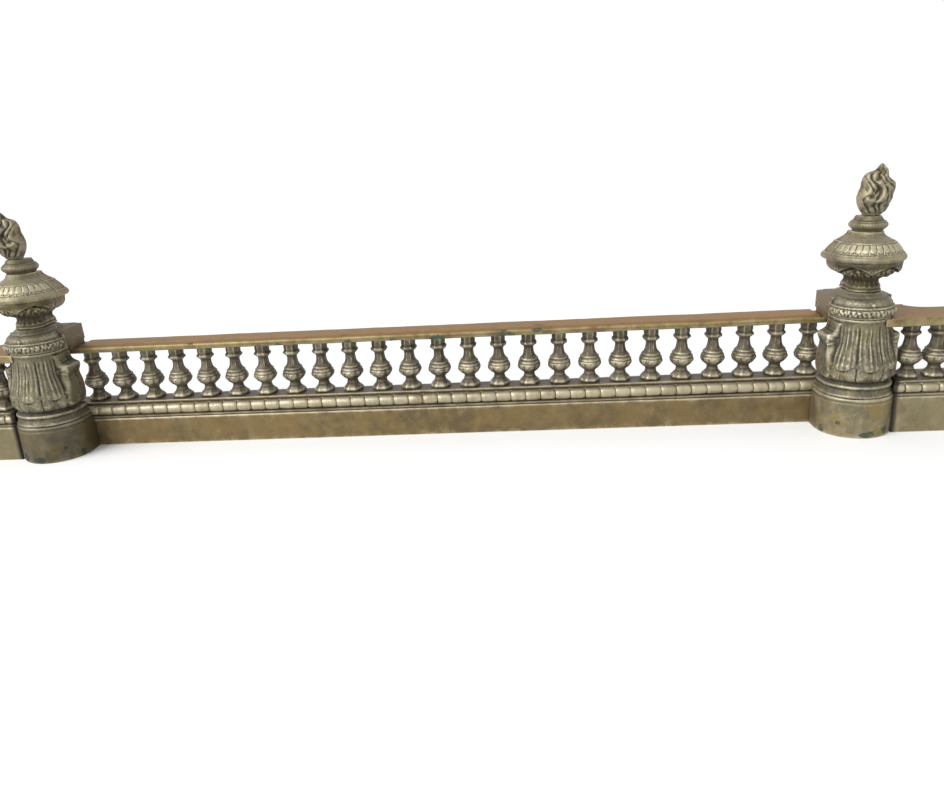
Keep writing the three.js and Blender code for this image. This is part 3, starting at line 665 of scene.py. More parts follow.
class OBJECT_OT_fender_balusters(bpy.types.Operator):
    """Make the cast balusters of the gallery and the wings"""
    bl_idname = "object.fender_balusters"
    bl_label = "Balusters"

    def execute(self, context):
        shape = baluster_shape()
        names = [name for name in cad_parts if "baluster" in name]
        if not names:
            raise RuntimeError("the frame has no balusters")
        for index, name in enumerate(sorted(names)):
            low, high = box_mm(name)
            middle = (low + high) / 2
            turned = shape.copy()
            lift = low.z - BALUSTER_BASE
            wobble = 5 * noise.noise((index * 3.7, 0.3, 0.9))
            bmesh.ops.rotate(turned, cent=(0, 0, 0), verts=turned.verts,
                             matrix=Matrix.Rotation(math.radians(wobble), 3, "Z"))
            place(turned, f"{name}_cast", (middle.x, middle.y, lift), [name], material("baluster"),
                  crease=50)
            turned.free()
        shape.free()
        return {"FINISHED"}


# ---------------------------------------------------------------------------- base mouldings

def base_profile(front, back, base_top, face_top, bead_low, bead_high):
    """Outline of a base moulding from the front wall's inside, over the top, to the back wall."""
    wall = 4.5
    roof = base_top - 2 * wall
    bead = (bead_high - bead_low) / 2
    middle_y, middle_z = front + bead * BEAD_SINK, bead_low + bead
    face = [(front + wall, roof), (front + wall, 0.0), (front, 0.0), (front, 1.0),
            (front, face_top - 0.8), (front + 0.5, face_top)]
    fillet = [(front + 0.5, face_top), (front + 1.3, face_top + 0.2),
              (front + 1.5, face_top + 1.4), (front + 0.3, face_top + 1.9),
              (front + 0.2, bead_low - 1.6), (front + 1.2, bead_low - 1.2),
              (front + 2.0, bead_low - 0.5)]
    swell = [(middle_y + bead * math.cos(turn), middle_z + bead * math.sin(turn))
             for turn in np.linspace(math.pi * 1.5, math.pi * 0.5, 15)]
    step = [(middle_y + 0.6, bead_high + 0.3), (front + 5.8, bead_high + 0.7),
            (front + 5.0, base_top - 1.7), (front + 5.0, base_top - 0.5), (front + 5.6, base_top)]
    ledge = [(front + 5.6, base_top), (back - 1.0, base_top), (back, base_top - 1.0)]
    rear = [(back, base_top - 1.0), (back, 0.0), (back - wall, 0.0), (back - wall, roof)]
    outline = []
    for part, spacing in ((face, 2.2), (fillet, 0.7), (swell, 1.1), (step, 0.6), (ledge, 3.0),
                          (rear, 8.0)):
        path = dense(part, spacing, 0)
        outline += path[1:] if outline and path[0] == outline[-1] else path
    return outline


def ribbon_stations(start, end, pitch, offset):
    """Places along a base: a close group at each ribbon joint and a few between."""
    group = (-2.4, -1.2, -0.75, -0.35, 0.0, 0.35, 0.75, 1.2, 2.4, 5.0, 8.0, pitch - 5.0)
    first = math.floor((start - offset) / pitch)
    places = {start, end}
    for joint in range(first, first + int((end - start) / pitch) + 3):
        middle = offset + joint * pitch
        places.update(middle + part for part in group)
    inside = sorted(spot for spot in places if start <= spot <= end)
    kept = [inside[0]]
    for spot in inside[1:]:
        if spot - kept[-1] > 0.2:
            kept.append(spot)
    kept[-1] = end
    return kept


def base_run(depths, ends, heights, pitch, offset, slant, seed, groove=0.40):
    """Extrudes a base along X and shapes its bead into a row of pillows.

    The heights are those of its face, of its bead's lower and upper edges, and its own.
    """
    front, back = depths
    face_top, bead_low, bead_high, top = heights
    radius = (bead_high - bead_low) / 2
    bead_y, bead_z = front + radius * BEAD_SINK, bead_low + radius
    bm = draw_along(base_profile(front, back, top, face_top, bead_low, bead_high),
                    ribbon_stations(*ends, pitch, offset))
    for vert in bm.verts:
        out = Vector((vert.co.y - bead_y, vert.co.z - bead_z))
        if out.length < radius * 1.06 and vert.co.y < bead_y + 0.5:
            lean = slant * (1 - (out.y / radius) ** 2)
            along_pillow = ((vert.co.x - offset - lean) / pitch) % 1.0
            gap = min(along_pillow, 1 - along_pillow) * pitch
            curve = 0.75 * bell(gap, 2.4) + 3.1 * groove * bell(gap, groove)
            amount = -curve * ramp(radius * 0.85, radius * 0.95, out.length)
            lift = 0.2 * noise.noise(Vector((vert.co.x / 14, seed, 0.4)))
            vert.co.y += out.x / radius * (amount + lift)
            vert.co.z += out.y / radius * (amount + lift)
    roughen(bm, 22, 0.35, seed)
    for vert in bm.verts:
        vert.co.z = max(0.0, vert.co.z)

    def pillow_pale_and_highlight(spot):
        """How pale each pillow is, only on the round of the bead: its own random share, with a
        painted highlight over the bead's upper half.
        """
        number = math.floor((spot.x - offset) / pitch)
        own = 0.60 + 0.8 * noise.noise((number * 2.31, seed, 0.5))
        own += 0.5 * noise.noise((spot.x / 90, seed, 7.5))
        away = math.hypot(spot.y - bead_y, spot.z - bead_z)
        # The last factor is a painted highlight: the bead is paler over its upper half.
        return (max(0.0, min(0.68, own)) * ramp(radius * 1.12, radius, away)
                * ramp(bead_y + 1.5, bead_y - 1, spot.y)
                * (0.45 + 0.55 * ramp(bead_z - radius * 0.7, bead_z + radius * 0.1, spot.z)))

    mark(bm, "pale", pillow_pale_and_highlight)
    return bm


class OBJECT_OT_fender_bases(bpy.types.Operator):
    """Make the plinths with their fillets and ribbon-tied beads"""
    bl_idname = "object.fender_bases"
    bl_label = "Base mouldings"

    def execute(self, context):
        pitch = context.scene.fender_sizes.ribbon_pitch / MM
        self.gallery(pitch)
        self.wings(pitch * 1.025)
        return {"FINISHED"}

    @staticmethod
    def gallery(pitch):
        """The long base between the posts."""
        heights = [BASE_HIGH.z * share for share in (0.622, 0.708, 0.928, 1)]
        bm = base_run((RAIL_LOW.y - 3, BASE_HIGH.y), (BASE_LOW.x, BASE_HIGH.x), heights, pitch,
                      offset=15.8, slant=0.8, seed=1.7)
        mark_relief(bm)
        mark(bm, "bare", lambda spot: 1.0 if spot.y > BASE_HIGH.y - 3 else 0.0)
        place(bm, "front_base_cast", (0, 0, 0), ["front_base"], material("plinth"),
              crease=35)
        bm.free()

    @staticmethod
    def wings(pitch):
        """The short bases beyond the posts, coped to the round of the foot."""
        heights = [WING_BASE_HIGH.z * share for share in (0.71, 0.79, 0.96, 1)]
        radius = (heights[2] - heights[1]) / 2
        front = WING_BASE_LOW.y - POST_Y + radius * (1 - BEAD_SINK)
        back = WING_BASE_HIGH.y - POST_Y
        start, end = POST_RADIUS - 9, WING_BASE_HIGH.x - POST_X
        bm = base_run((front, back), (start, end), heights, pitch, offset=50.0, slant=0.3,
                      seed=4.1, groove=0.75)
        clear = 1.4
        corner = 3.0

        def round_of_foot(y):
            """How far out the round of the foot reaches at a depth, with its clearance."""
            return math.sqrt(max(0.0, (POST_RADIUS + clear) ** 2 - min(0.0, y) ** 2))

        def rounding(inward):
            """How far a rounded corner falls back, by the distance in from its end."""
            return corner - math.sqrt(
                max(0.0, corner ** 2 - (corner - min(corner, inward)) ** 2))

        for vert in bm.verts:
            turned = rounding(vert.co.x - start)
            near = ramp(start + 18, start, vert.co.x)
            vert.co.x += (round_of_foot(vert.co.y) - start) * near
            if vert.co.y < front + 6:
                vert.co.y += turned
            if vert.co.y < front + 6 and vert.co.x > end - 4:
                vert.co.y += rounding(end - vert.co.x) * 0.6
        bmesh.ops.recalc_face_normals(bm, faces=bm.faces)
        mark_relief(bm)
        # The coped end beside the foot is pulled to the hollow side of both relief attributes,
        # which paints shade into the gap between base and foot.
        ease_relief(bm, lambda vert: (ramp(5.0, 1.5, vert.co.x - round_of_foot(vert.co.y))
                                    * ramp(back, back - 6, vert.co.y)), 0.12, 0.15)
        mark(bm, "bare", lambda spot: 1.0 if spot.y > back - 3 else 0.0)
        place_on_posts(bm, "wing_base", "wing_plinth", crease=35)
        bm.free()


# ---------------------------------------------------------------------------- rails

def soften_bar(bm, seed, sag):
    """Lets a long bar wander a little, as an old drawn bar does."""
    for vert in bm.verts:
        spot = Vector((vert.co.x / 60, seed, 0.2))
        vert.co.z += sag * noise.noise(spot)
        vert.co.y += sag * noise.noise(spot + Vector((9.1, 0, 0)))


def green_spots(spots):
    """A function that is 1 inside any of the spots, each (x, y, z, reach along x, reach across)."""
    def value(point):
        best = 0.0
        for x, y, z, along_x, across in spots:
            away = math.hypot((point.x - x) / along_x, (point.y - y) / across,
                              (point.z - z) / across)
            best = max(best, ramp(1.35, 0.45, away))
        return best
    return value


class OBJECT_OT_fender_rails(bpy.types.Operator):
    """Make the flat top rails of the gallery and the wings"""
    bl_idname = "object.fender_rails"
    bl_label = "Rails"

    def execute(self, context):
        self.gallery()
        self.wings()
        return {"FINISHED"}

    @staticmethod
    def gallery():
        """The long rail, let down at its ends to pass under the capitals."""
        low, high = RAIL_LOW, RAIL_HIGH
        outline = dense([
            (high.y, low.z + 0.6), (high.y, high.z - 1.2), (high.y - 0.9, high.z - 0.2),
            (low.y + 9.5, high.z - 0.2), (low.y + 5.0, high.z - 1.4), (low.y + 1.5, high.z - 2.4),
            (low.y + 0.6, high.z - 3.0), (low.y + 0.1, high.z - 4.2), (low.y + 0.1, low.z + 2.4),
            (low.y + 0.7, low.z + 1.2), (low.y + 2.0, low.z + 0.5), (high.y - 0.6, low.z + 0.1),
            (high.y, low.z + 0.6),
        ], 2.0, 0)[:-1]
        bm = draw_along(outline, sorted([*np.linspace(low.x, high.x, 240), -LAP_X - 0.1, -LAP_X,
                                         LAP_X, LAP_X + 0.1]))
        roughen(bm, 16, 0.3, 8.8)
        soften_bar(bm, 2.2, 0.4)
        keep_inside(bm, low, high)
        for vert in bm.verts:
            if abs(vert.co.x) > LAP_X + 0.05:
                vert.co.z = min(vert.co.z, high.z - LAP_DROP)
        mark_relief(bm)
        under = (low.y, low.z + 1)
        rim = (low.y + 2, high.z - 3)
        mark(bm, "green", green_spots([
            (-117, *under, 9, 6), (-56, *under, 9, 7), (6, *under, 24, 7), (90, *under, 24, 8),
            (84, *rim, 14, 4), (132, *rim, 12, 5), (136, low.y + 14, high.z, 12, 6),
            (-210, *under, 8, 5), (214, *under, 9, 5), (-330, *rim, 8, 4), (322, *under, 12, 5)]))
        place(bm, "front_rail_cast", (0, 0, 0), ["front_rail"], material("rail"),
              crease=45)
        bm.free()

    @staticmethod
    def wings():
        """The wing rails, coped round the vase's neck, with a concave sweep behind the post."""
        post = Vector((POST_X, POST_Y, 0))
        low, high = WING_RAIL_LOW - post, WING_RAIL_HIGH - post
        neck = POST_RADIUS * 0.73 + 0.8
        knee, sweep, wing_back = POST_RADIUS * 1.6, POST_RADIUS * 0.75, POST_RADIUS * 2 / 3
        back = POST_BACK + GAP
        curve = [(knee + sweep * share ** 2, wing_back + (high.y - wing_back) * (1 - share) ** 2)
                 for share in np.linspace(0, 1, 9)]
        cope = [(neck * math.sin(math.radians(turn)), -neck * math.cos(math.radians(turn)))
                for turn in np.linspace(math.degrees(math.acos(-low.y / neck)), 90, 9)]
        outline = ([(high.x, low.y), (high.x, wing_back)] + curve[::-1]
                   + [(low.x, high.y), (low.x, back)] + [(neck, back)] + cope[::-1])
        bm = bmesh.new()
        face = bm.faces.new([bm.verts.new((x, y, low.z)) for x, y in outline])
        made = bmesh.ops.extrude_face_region(bm, geom=[face])["geom"]
        bmesh.ops.translate(bm, vec=(0, 0, high.z - low.z),
                            verts=[item for item in made if isinstance(item, bmesh.types.BMVert)])
        bmesh.ops.recalc_face_normals(bm, faces=bm.faces)
        rims = [edge for edge in bm.edges
                if abs(edge.verts[0].co.z - edge.verts[1].co.z) < 0.01]
        bmesh.ops.bevel(bm, geom=rims, offset=1.8, affect="EDGES", segments=3, profile=0.5,
                        material=-1)
        for axis, step in ((Vector((1, 0, 0)), 6.0), (Vector((0, 1, 0)), 7.0)):
            for spot in np.arange(low.dot(axis) + step, high.dot(axis), step):
                bmesh.ops.bisect_plane(bm, geom=bm.verts[:] + bm.edges[:] + bm.faces[:],
                                       plane_co=axis * spot, plane_no=axis, dist=1e-4)
        roughen(bm, 16, 0.3, 5.5)
        keep_inside(bm, low, high)
        mark_relief(bm)
        place_on_posts(bm, "wing_rail", "rail", crease=45)
        bm.free()


# ---------------------------------------------------------------------------- post castings

def shoulder_marks(bm, edge=2.0):
    """Marks the plain sides and back of a casting, behind the decorated half round."""
    ease_relief(bm, lambda vert: ramp(0.3, 0.7, vert.normal.y))
    mark(bm, "bare", lambda spot: 0.85 * ramp(edge - 1, edge + 4, spot.y))


class OBJECT_OT_fender_feet(bpy.types.Operator):
    """Make the D-shaped feet of the posts"""
    bl_idname = "object.fender_feet"
    bl_label = "Feet"

    def execute(self, context):
        radius, top = POST_RADIUS, FOOT_HIGH.z
        profile = dense([
            (0, radius - 0.8), (0.8, radius), (top * 0.5, radius), (top - 7.2, radius),
            (top - 6.2, radius - 0.2), (top - 5.6, radius - 1.3), (top - 4.6, radius - 1.4),
            (top - 4.0, radius - 0.3), (top - 2.6, radius), (top - 1.2, radius - 0.3),
            (top - 0.3, radius - 1.3), (top - 0.2, radius - 3), (top, radius - 12),
        ], 1.0)
        bm = half_round(profile, POST_BACK, 96, 10, hollow=True)
        roughen(bm, 24, 0.7, 6.1)
        bmesh.ops.solidify(bm, geom=bm.faces[:], thickness=4.0)
        keep_inside(bm, Vector((-radius, -radius, 0)), Vector((radius, POST_BACK, top)))
        mark_relief(bm)
        shoulder_marks(bm)
        mark(bm, "green", green_spots([(-29, -34, 18, 5, 4), (4, -45, 5, 14, 6),
                                       (26, -37, 8, 9, 8), (-42, -16, 6, 5, 7)]))
        place_on_posts(bm, "foot", "foot")
        bm.free()
        return {"FINISHED"}


class OBJECT_OT_fender_vases(bpy.types.Operator):
    """Make the leafy vase bodies with their scroll brackets"""
    bl_idname = "object.fender_vases"
    bl_label = "Vase bodies"

    def execute(self, context):
        sizes = context.scene.fender_sizes
        pitch = math.degrees(sizes.leaf_pitch)
        proud = sizes.leaf_depth / MM
        bottom, top = VASE_LOW.z, VASE_HIGH.z
        profile = dense([
            (bottom, 40.5), (bottom, 43.0), (51.4, 43.9), (52.8, 43.6), (53.8, 42.4),
            (55.5, 41.3), (58.5, 40.4), (60.4, 40.2), (61.2, 41.4), (62.4, 42.0), (63.8, 41.8),
            (64.8, 40.6), (65.4, 38.6), (66.8, 36.8), (68.6, 36.4), (70.2, 38.2), (73, 40.6),
            (77, 42.3), (82, 43.2), (87, 43.1), (93.2, 41.7), (99.6, 39.7), (107, 37.2),
            (114.6, 35.0), (122, 33.5), (129.5, 32.6), (137, 32.1), (140.4, 32.0), (141.4, 32.8),
            (top - 0.7, 33.0), (top, 32.4), (top, 22),
        ], 0.85)
        bm = half_round(profile, POST_BACK, 150, 12)
        carve(bm, lambda angle, z, y: self.leaves(angle, z, y, pitch, proud), 66, 139)
        self.brackets(bm)
        roughen(bm, 11, 0.55, 2.4)
        roughen(bm, 3.2, 0.22, 4.4)
        self.hold_in(bm)
        mark_relief(bm)
        shoulder_marks(bm, 6)
        place_on_posts(bm, "vase_body", "olive_post", crease=60)
        bm.free()
        return {"FINISHED"}

    @staticmethod
    def hold_in(bm):
        """Presses what stands proud softly back inside the round of the post."""
        margin = 3.0
        limit = POST_RADIUS - margin - 0.2
        for vert in bm.verts:
            radius = math.hypot(vert.co.x, min(0.0, vert.co.y))
            if radius > limit:
                share = (limit + margin * math.tanh((radius - limit) / margin)) / radius
                vert.co.x *= share
                vert.co.y *= share if vert.co.y < 0 else 1

    @staticmethod
    def leaves(angle, z, y, pitch, proud):
        """Height of the long leaves with curled tips, and of the short round leaves between."""
        if y > 0:
            return 0.0
        half = pitch / 2
        across = (angle - pitch * round(angle / pitch)) / half
        tip = 84.0
        width = 0.94 * math.sqrt(max(0.0, min(1.0, (z - tip) / 9)))
        inside = ramp(width + 0.14, width - 0.10, abs(across)) * ramp(tip - 2, tip + 1, z)
        fade = ramp(139, 130, z)
        drift = 0.16 * noise.noise((z / 22, angle / 30, 0.6))
        ribs = 0.42 * bell(across + drift * 0.4, 0.05)
        flutes = 0.24 * math.cos((across + drift) * math.pi * 5) * ramp(90, 100, z)
        flutes += 0.28 * noise.noise((angle / 2.6, z / 26, 0.3))
        leaf = proud * (0.50 - 0.42 * across ** 2 + ribs + flutes)
        gutter = -0.75 * proud * bell(abs(across) - 1, 0.06) * ramp(86, 98, z)
        lobes = 1 + 0.30 * math.cos((across + drift) * math.pi * 5)
        curl = 3.1 * bell(across, 0.62) * bell(z - 88.4 + 2.4 * across ** 2, 3.6) * lobes
        undercut = -1.1 * bell(across, 0.5) * bell(z - 82.6, 1.9)
        height = inside * (leaf * fade + curl) + undercut + gutter * fade
        between = 1 - abs(across)
        lobe = math.hypot((between - 0.40) / 0.40, (z - 78.8 - 1.5 * between) / 9.2)
        cover = 1 - inside
        height += cover * (2.1 * max(0.0, 1 - lobe * lobe) ** 0.7
                           + 0.45 * bell(lobe - 0.96, 0.11) - 0.3 * bell(lobe - 0.68, 0.16))
        seam = -0.9 * bell(between, 0.06) * ramp(70, 73, z) * ramp(90, 86, z)
        height += cover * (seam + 0.5 * bell(between, 0.35) * bell(z - 88, 5))
        return height * ramp(92, 84, abs(angle)) * ramp(66, 71, z)

    @staticmethod
    def brackets(bm):
        """Turns the outer part of the half round into a bracket with a scroll ear."""
        width = [(50, 0), (66, 0), (69, 39), (74, 42.6), (80, 44.0), (90, 44.4), (98, 43.4),
                 (105, 41.4), (110.5, 40.6), (114, 41.8), (118, 43.9), (121.5, 44.6),
                 (123.2, 43.6), (125, 39.5), (127.5, 35.6), (131, 33.6), (139, 32.8),
                 (140.6, 0), (146, 0)]
        edge = 60.0
        for vert in bm.verts:
            z = vert.co.z
            if not 66 < z < 140.6 or abs(vert.co.x) < 20:
                continue
            side = math.copysign(1, vert.co.x)
            reach = along(width, z)
            if reach < 20:
                continue
            if vert.co.y >= 0:
                rim = 0.7 * bell(vert.co.y - 14.5, 1.6)
                vert.co.x = side * max(reach - 0.6 * ramp(3, 6, vert.co.y) + rim * 0.4, 20)
                continue
            angle = math.degrees(math.atan2(abs(vert.co.x), -vert.co.y))
            if angle < edge:
                continue
            share = (angle - edge) / (90 - edge)
            radius = math.hypot(vert.co.x, vert.co.y)
            start = Vector((radius * math.sin(math.radians(edge)),
                            -radius * math.cos(math.radians(edge))))
            corner = Vector((reach, start.y * 0.72))
            if share < 0.3:
                spot = start.lerp(corner, ramp(0.02, 0.3, share))
            else:
                spot = corner.lerp(Vector((reach, 0)), (share - 0.3) / 0.7)
            rim = 0.9 * bell(share - 0.34, 0.09) * ramp(70, 75, z) * ramp(125, 121, z)
            rim += 0.7 * (bell(share - 0.12, 0.06) + bell(share - 0.62, 0.07)) * ramp(
                118, 124, z) * ramp(140, 136, z)
            volute = math.hypot((z - 116.5) / 4.6, (share - 0.42) / 0.34)
            scroll = math.hypot((z - 78.5) / 5.5, (share - 0.5) / 0.42)
            knob = 1.5 * bell(volute, 0.42) + 0.9 * bell(volute - 1, 0.2)
            knob += 1.0 * bell(scroll, 0.4) + 0.8 * bell(scroll - 1, 0.2)
            spot.x += rim + knob
            spot.y -= 0.6 * (rim + knob)
            vert.co.x, vert.co.y = side * min(spot.x, POST_RADIUS - 0.2), spot.y


class OBJECT_OT_fender_capitals(bpy.types.Operator):
    """Make the capitals: a leaf-and-bead ring under a stepped dome, on a block over the rails"""
    bl_idname = "object.fender_capitals"
    bl_label = "Capitals"

    def execute(self, context):
        bottom, top = CAPITAL_LOW.z, CAPITAL_HIGH.z
        ring = VASE_HIGH.z + GAP
        deep = CAPITAL_HIGH.y - POST_Y
        shallow = URN_HIGH.y - POST_Y
        profile = dense([
            (ring, 20), (ring, 32.4), (146.0, 33.6), (146.9, 33.9), (147.4, 33.2),
            (148.2, 34.8), (150.0, 36.6), (152.4, 37.3), (154.8, 36.9), (156.3, 35.9),
            (157.0, 35.1), (157.4, 36.0), (158.4, 36.3), (159.4, 35.6), (160.0, 34.0),
            (161.1, 33.6), (162.6, 33.4), (164.8, 32.3), (167.0, 29.9), (168.1, 28.2),
            (168.4, 26.5), (169.2, 25.8), (170.9, 24.2), (172.9, 21.6), (top - 0.2, 19.6),
            (top, 18.0), (top, 12),
        ], 0.7)
        back = [(ring, deep), (168.3, deep - 1), (169.0, shallow), (top, shallow)]
        bm = half_round(profile, back, 132, 14)
        carve(bm, self.leaf_ring, ring, top)
        self.slab(bm, deep)
        roughen(bm, 3.4, 0.26, 7.9)
        keep_inside(bm, Vector((-37.7, -37.9, ring)), Vector((37.7, deep, top)))
        pad_width, pad_height, pad_middle, pad_front = 26.2, 8, -21.2, 17.4
        pad = bmesh.ops.create_cube(bm, size=1)["verts"]
        bmesh.ops.scale(bm, vec=(pad_width, deep - pad_front, pad_height), verts=pad)
        bmesh.ops.translate(
            bm, vec=(pad_middle, (deep + pad_front) / 2, bottom + pad_height / 2), verts=pad)
        mark_relief(bm)
        shoulder_marks(bm, 1.5)
        mark(bm, "green", green_spots([(0, -37, 149, 6, 4), (25, -27, 149, 4, 3)]))
        place_on_posts(bm, "capital", "olive_post", crease=55)
        bm.free()
        return {"FINISHED"}

    @staticmethod
    def leaf_ring(angle, z, y):
        """Small curling leaves round the ring, a bead row over them and a boss at the front."""
        if y > 0.5:
            return 0.0
        fade = ramp(90, 84, abs(angle))
        bend = 0.22 * math.sin((z - 152) / 3.2) + 0.42 * noise.noise((angle / 14, 0.7, 0.2))
        leaf = (angle / 8.2 + bend + 0.5) % 1 - 0.5
        ring = ramp(147.2, 149.4, z) * ramp(157, 155, z)
        rough = noise.noise((angle / 3.6, z / 3.0, 0.4))
        height = ring * (0.55 * bell(leaf + 0.08, 0.28) - 0.35 * bell(abs(leaf) - 0.5, 0.14)
                         + 0.2 * bell(leaf - 0.24, 0.08) * ramp(150, 154, z) + 1.4 * rough)
        height += 0.35 * ramp(157.2, 158, z) * ramp(160, 159.2, z) * noise.noise(
            (angle / 2.2, z / 3, 0.9))
        height += 1.9 * bell(math.hypot(angle / 4.6, (z - 162.6) / 2.2), 0.8)
        return height * fade

    @staticmethod
    def slab(bm, deep):
        """Squares the block behind the dome and gives each side an eye near its back."""
        for vert in bm.verts:
            if vert.co.y < 2 or not 145.5 < vert.co.z < 167.4 or abs(vert.co.x) < 22:
                continue
            eye = math.hypot(vert.co.y - (deep - 8), vert.co.z - 152)
            amount = 0.4 * bell(eye - 3.6, 0.9) + 0.5 * bell(vert.co.y - 5, 1.2)
            square = ramp(2, 3.4, vert.co.y)
            side = 36.4
            flush = side * square + min(abs(vert.co.x), side) * (1 - square)
            vert.co.x = math.copysign(flush - 0.5 + amount, vert.co.x)


class OBJECT_OT_fender_urns(bpy.types.Operator):
    """Make the urns: a ringed foot, a short stem and a draped bowl"""
    bl_idname = "object.fender_urns"
    bl_label = "Urns"

    def execute(self, context):
        bottom, top = URN_LOW.z, URN_HIGH.z
        back = URN_HIGH.y - POST_Y
        profile = dense([
            (bottom, 10), (bottom, 17.6), (175.8, 19.0), (177.2, 19.2), (178.2, 18.4),
            (178.6, 17.6), (179.6, 18.0), (181.0, 18.2), (182.4, 17.4), (184.0, 16.0),
            (186.6, 15.0), (188.6, 15.2), (190.4, 16.8), (191.4, 19.2), (192.6, 20.0),
            (193.4, 21.5), (195.4, 27.0), (197.8, 31.4), (200.6, 34.6), (203.6, 36.4),
            (206.8, 37.3), (209.4, 37.8), (top, 38.0), (top, 20),
        ], 0.7)
        bm = half_round(profile, back, 132, 12)
        carve(bm, self.drapery, 178, top)
        roughen(bm, 8, 0.5, 4.3)
        roughen(bm, 3, 0.22, 6.1)
        self.plain_sides(bm)
        mark_relief(bm)
        ease_relief(bm, lambda vert: 0.6 * ramp(204, 207, vert.co.z), 0.42, 0.42)
        shoulder_marks(bm, 2)
        place_on_posts(bm, "urn", "olive_dark", crease=55)
        bm.free()
        return {"FINISHED"}

    @staticmethod
    def drapery(angle, z, y):
        """A smooth apron that dips to points over swelling folds, and small drops on the stem."""
        if y > 0.5:
            return 0.0
        fade = ramp(91, 83, abs(angle))
        if z < 190:
            drop = (angle / 20 + 0.5) % 1 - 0.5
            return fade * 0.7 * ramp(180, 182, z) * ramp(190, 187, z) * (bell(drop, 0.2) - 0.35)
        pitch, turned = 66.0, angle + 11
        phase = (turned / pitch + 0.5) % 1 - 0.5
        part = abs(phase) * 2
        edge = 199.0 + 8.6 * part ** 0.7
        apron = ramp(edge - 1.0, edge + 0.8, z)
        height = 1.6 * apron + 0.5 * bell(z - edge - 1.2, 1.0)
        curl = math.hypot(36 * math.radians(phase * pitch), z - 203.0)
        height += 0.5 * bell(curl - 3.0, 0.9) + 0.5 * bell(curl, 1.3)
        warp = 0.5 * noise.noise((angle / 11, z / 5, 0.3)) + 0.06 * (z - 196)
        fold = (angle / 15 + 0.5 + warp) % 1 - 0.5
        folds = 1.5 * (bell(fold, 0.32) - 0.55) + 1.7 * noise.noise((angle / 5.5, z / 2.6, 1.9))
        deep = -2.0 * bell(z - edge + 1.6, 1.4)
        height += (1 - apron) * ramp(192, 195, z) * (folds + deep)
        return height * fade

    @staticmethod
    def plain_sides(bm):
        """Steps the straight sides in a little behind the decorated front."""
        for vert in bm.verts:
            if vert.co.y > 2.5 and abs(vert.co.x) > 8:
                vert.co.x -= math.copysign(0.9 * ramp(2.5, 3.6, vert.co.y), vert.co.x)


class OBJECT_OT_fender_lids(bpy.types.Operator):
    """Make the urn lids: rolled lip, tongue frieze, raised ring and shoulder"""
    bl_idname = "object.fender_lids"
    bl_label = "Urn lids"

    def execute(self, context):
        pitch = math.degrees(context.scene.fender_sizes.tongue_pitch)
        bottom, top = LID_LOW.z, LID_HIGH.z
        profile = dense([
            (bottom, 24), (bottom, 38.4), (212.4, 40.4), (213.8, 41.8), (215.8, 42.7),
            (217.6, 42.6), (218.9, 41.8), (219.4, 40.9), (219.9, 41.1), (220.6, 40.9),
            (221.1, 40.2), (221.4, 39.0), (222.6, 38.4), (226.0, 36.0), (230.2, 32.2),
            (232.0, 30.4), (232.4, 29.9), (233.6, 29.9), (234.3, 29.3), (234.5, 28.3),
            (234.0, 27.6), (235.2, 26.2), (237.6, 22.2), (239.8, 18.7), (242.2, 16.6),
            (244.4, 15.9), (top, 15.8), (top, 8),
        ], 0.65)
        reach = LID_HIGH.y - POST_Y
        back = [(bottom, reach), (218, reach), (231, reach * 0.88), (236, reach * 0.84),
                (top, reach * 0.74)]
        bm = half_round(profile, back, 150, 12)
        carve(bm, lambda angle, z, y: self.tongues(angle, z, y, pitch), bottom, top)
        roughen(bm, 7, 0.35, 9.6)
        roughen(bm, 2.6, 0.16, 3.6)
        keep_inside(bm, Vector((-43, -43, bottom)), Vector((43, reach, top)))
        self.lugs(bm)
        mark_relief(bm)
        ease_relief(bm, lambda vert: 0.55 * ramp(220.5, 218.5, vert.co.z))
        mark(bm, "pale", lambda spot: 0.55 * ramp(221, 223.5, spot.z) * ramp(233, 231.8, spot.z)
             if spot.y < -2 else 0.0)
        shoulder_marks(bm, 2)
        place_on_posts(bm, "urn_lid", "lid", crease=55)
        bm.free()
        return {"FINISHED"}

    @staticmethod
    def tongues(angle, z, y, pitch):
        """Round-ended tongues down the slope, each with a raised rim and a hollow middle."""
        if y > 0.5:
            return 0.0
        fade = ramp(89, 85, abs(angle))
        shift = 0.05 * noise.noise((angle / 9, 5.5, 0.1))
        across = (angle / pitch + shift + 0.5) % 1 - 0.5
        slope = ramp(222.6, 223.8, z) * ramp(232.6, 231.8, z)
        down = (231.9 - z) / 8.4
        outline = math.hypot(across / 0.45, max(0.0, down - 0.50) / 0.44)
        height = slope * (0.7 * max(0.0, 1 - outline ** 2) ** 0.5 - 0.3 * ramp(1.0, 1.2, outline)
                          + 0.25 * bell(across - 0.26, 0.06) * ramp(1.1, 0.7, outline))
        height += slope * 0.65 * bell(abs(across) - 0.5, 0.06) * ramp(0.45, 0.8, down)
        pebble = noise.noise((angle * 0.62, z * 0.9, 2.2))
        height += 0.55 * pebble * ramp(219.8, 220.4, z) * ramp(224.2, 222.8, z)
        return height * fade

    @staticmethod
    def lugs(bm):
        """Steps the straight sides in and rolls a bead down the line where the pattern ends."""
        for vert in bm.verts:
            if vert.co.y > -3 and abs(vert.co.x) > 14:
                lip = ramp(222, 219, vert.co.z)
                change = 0.5 * bell(vert.co.y, 1.3) * (1 - lip)
                change -= 1.1 * ramp(1.8, 3.2, vert.co.y)
                vert.co.x += math.copysign(change, vert.co.x)


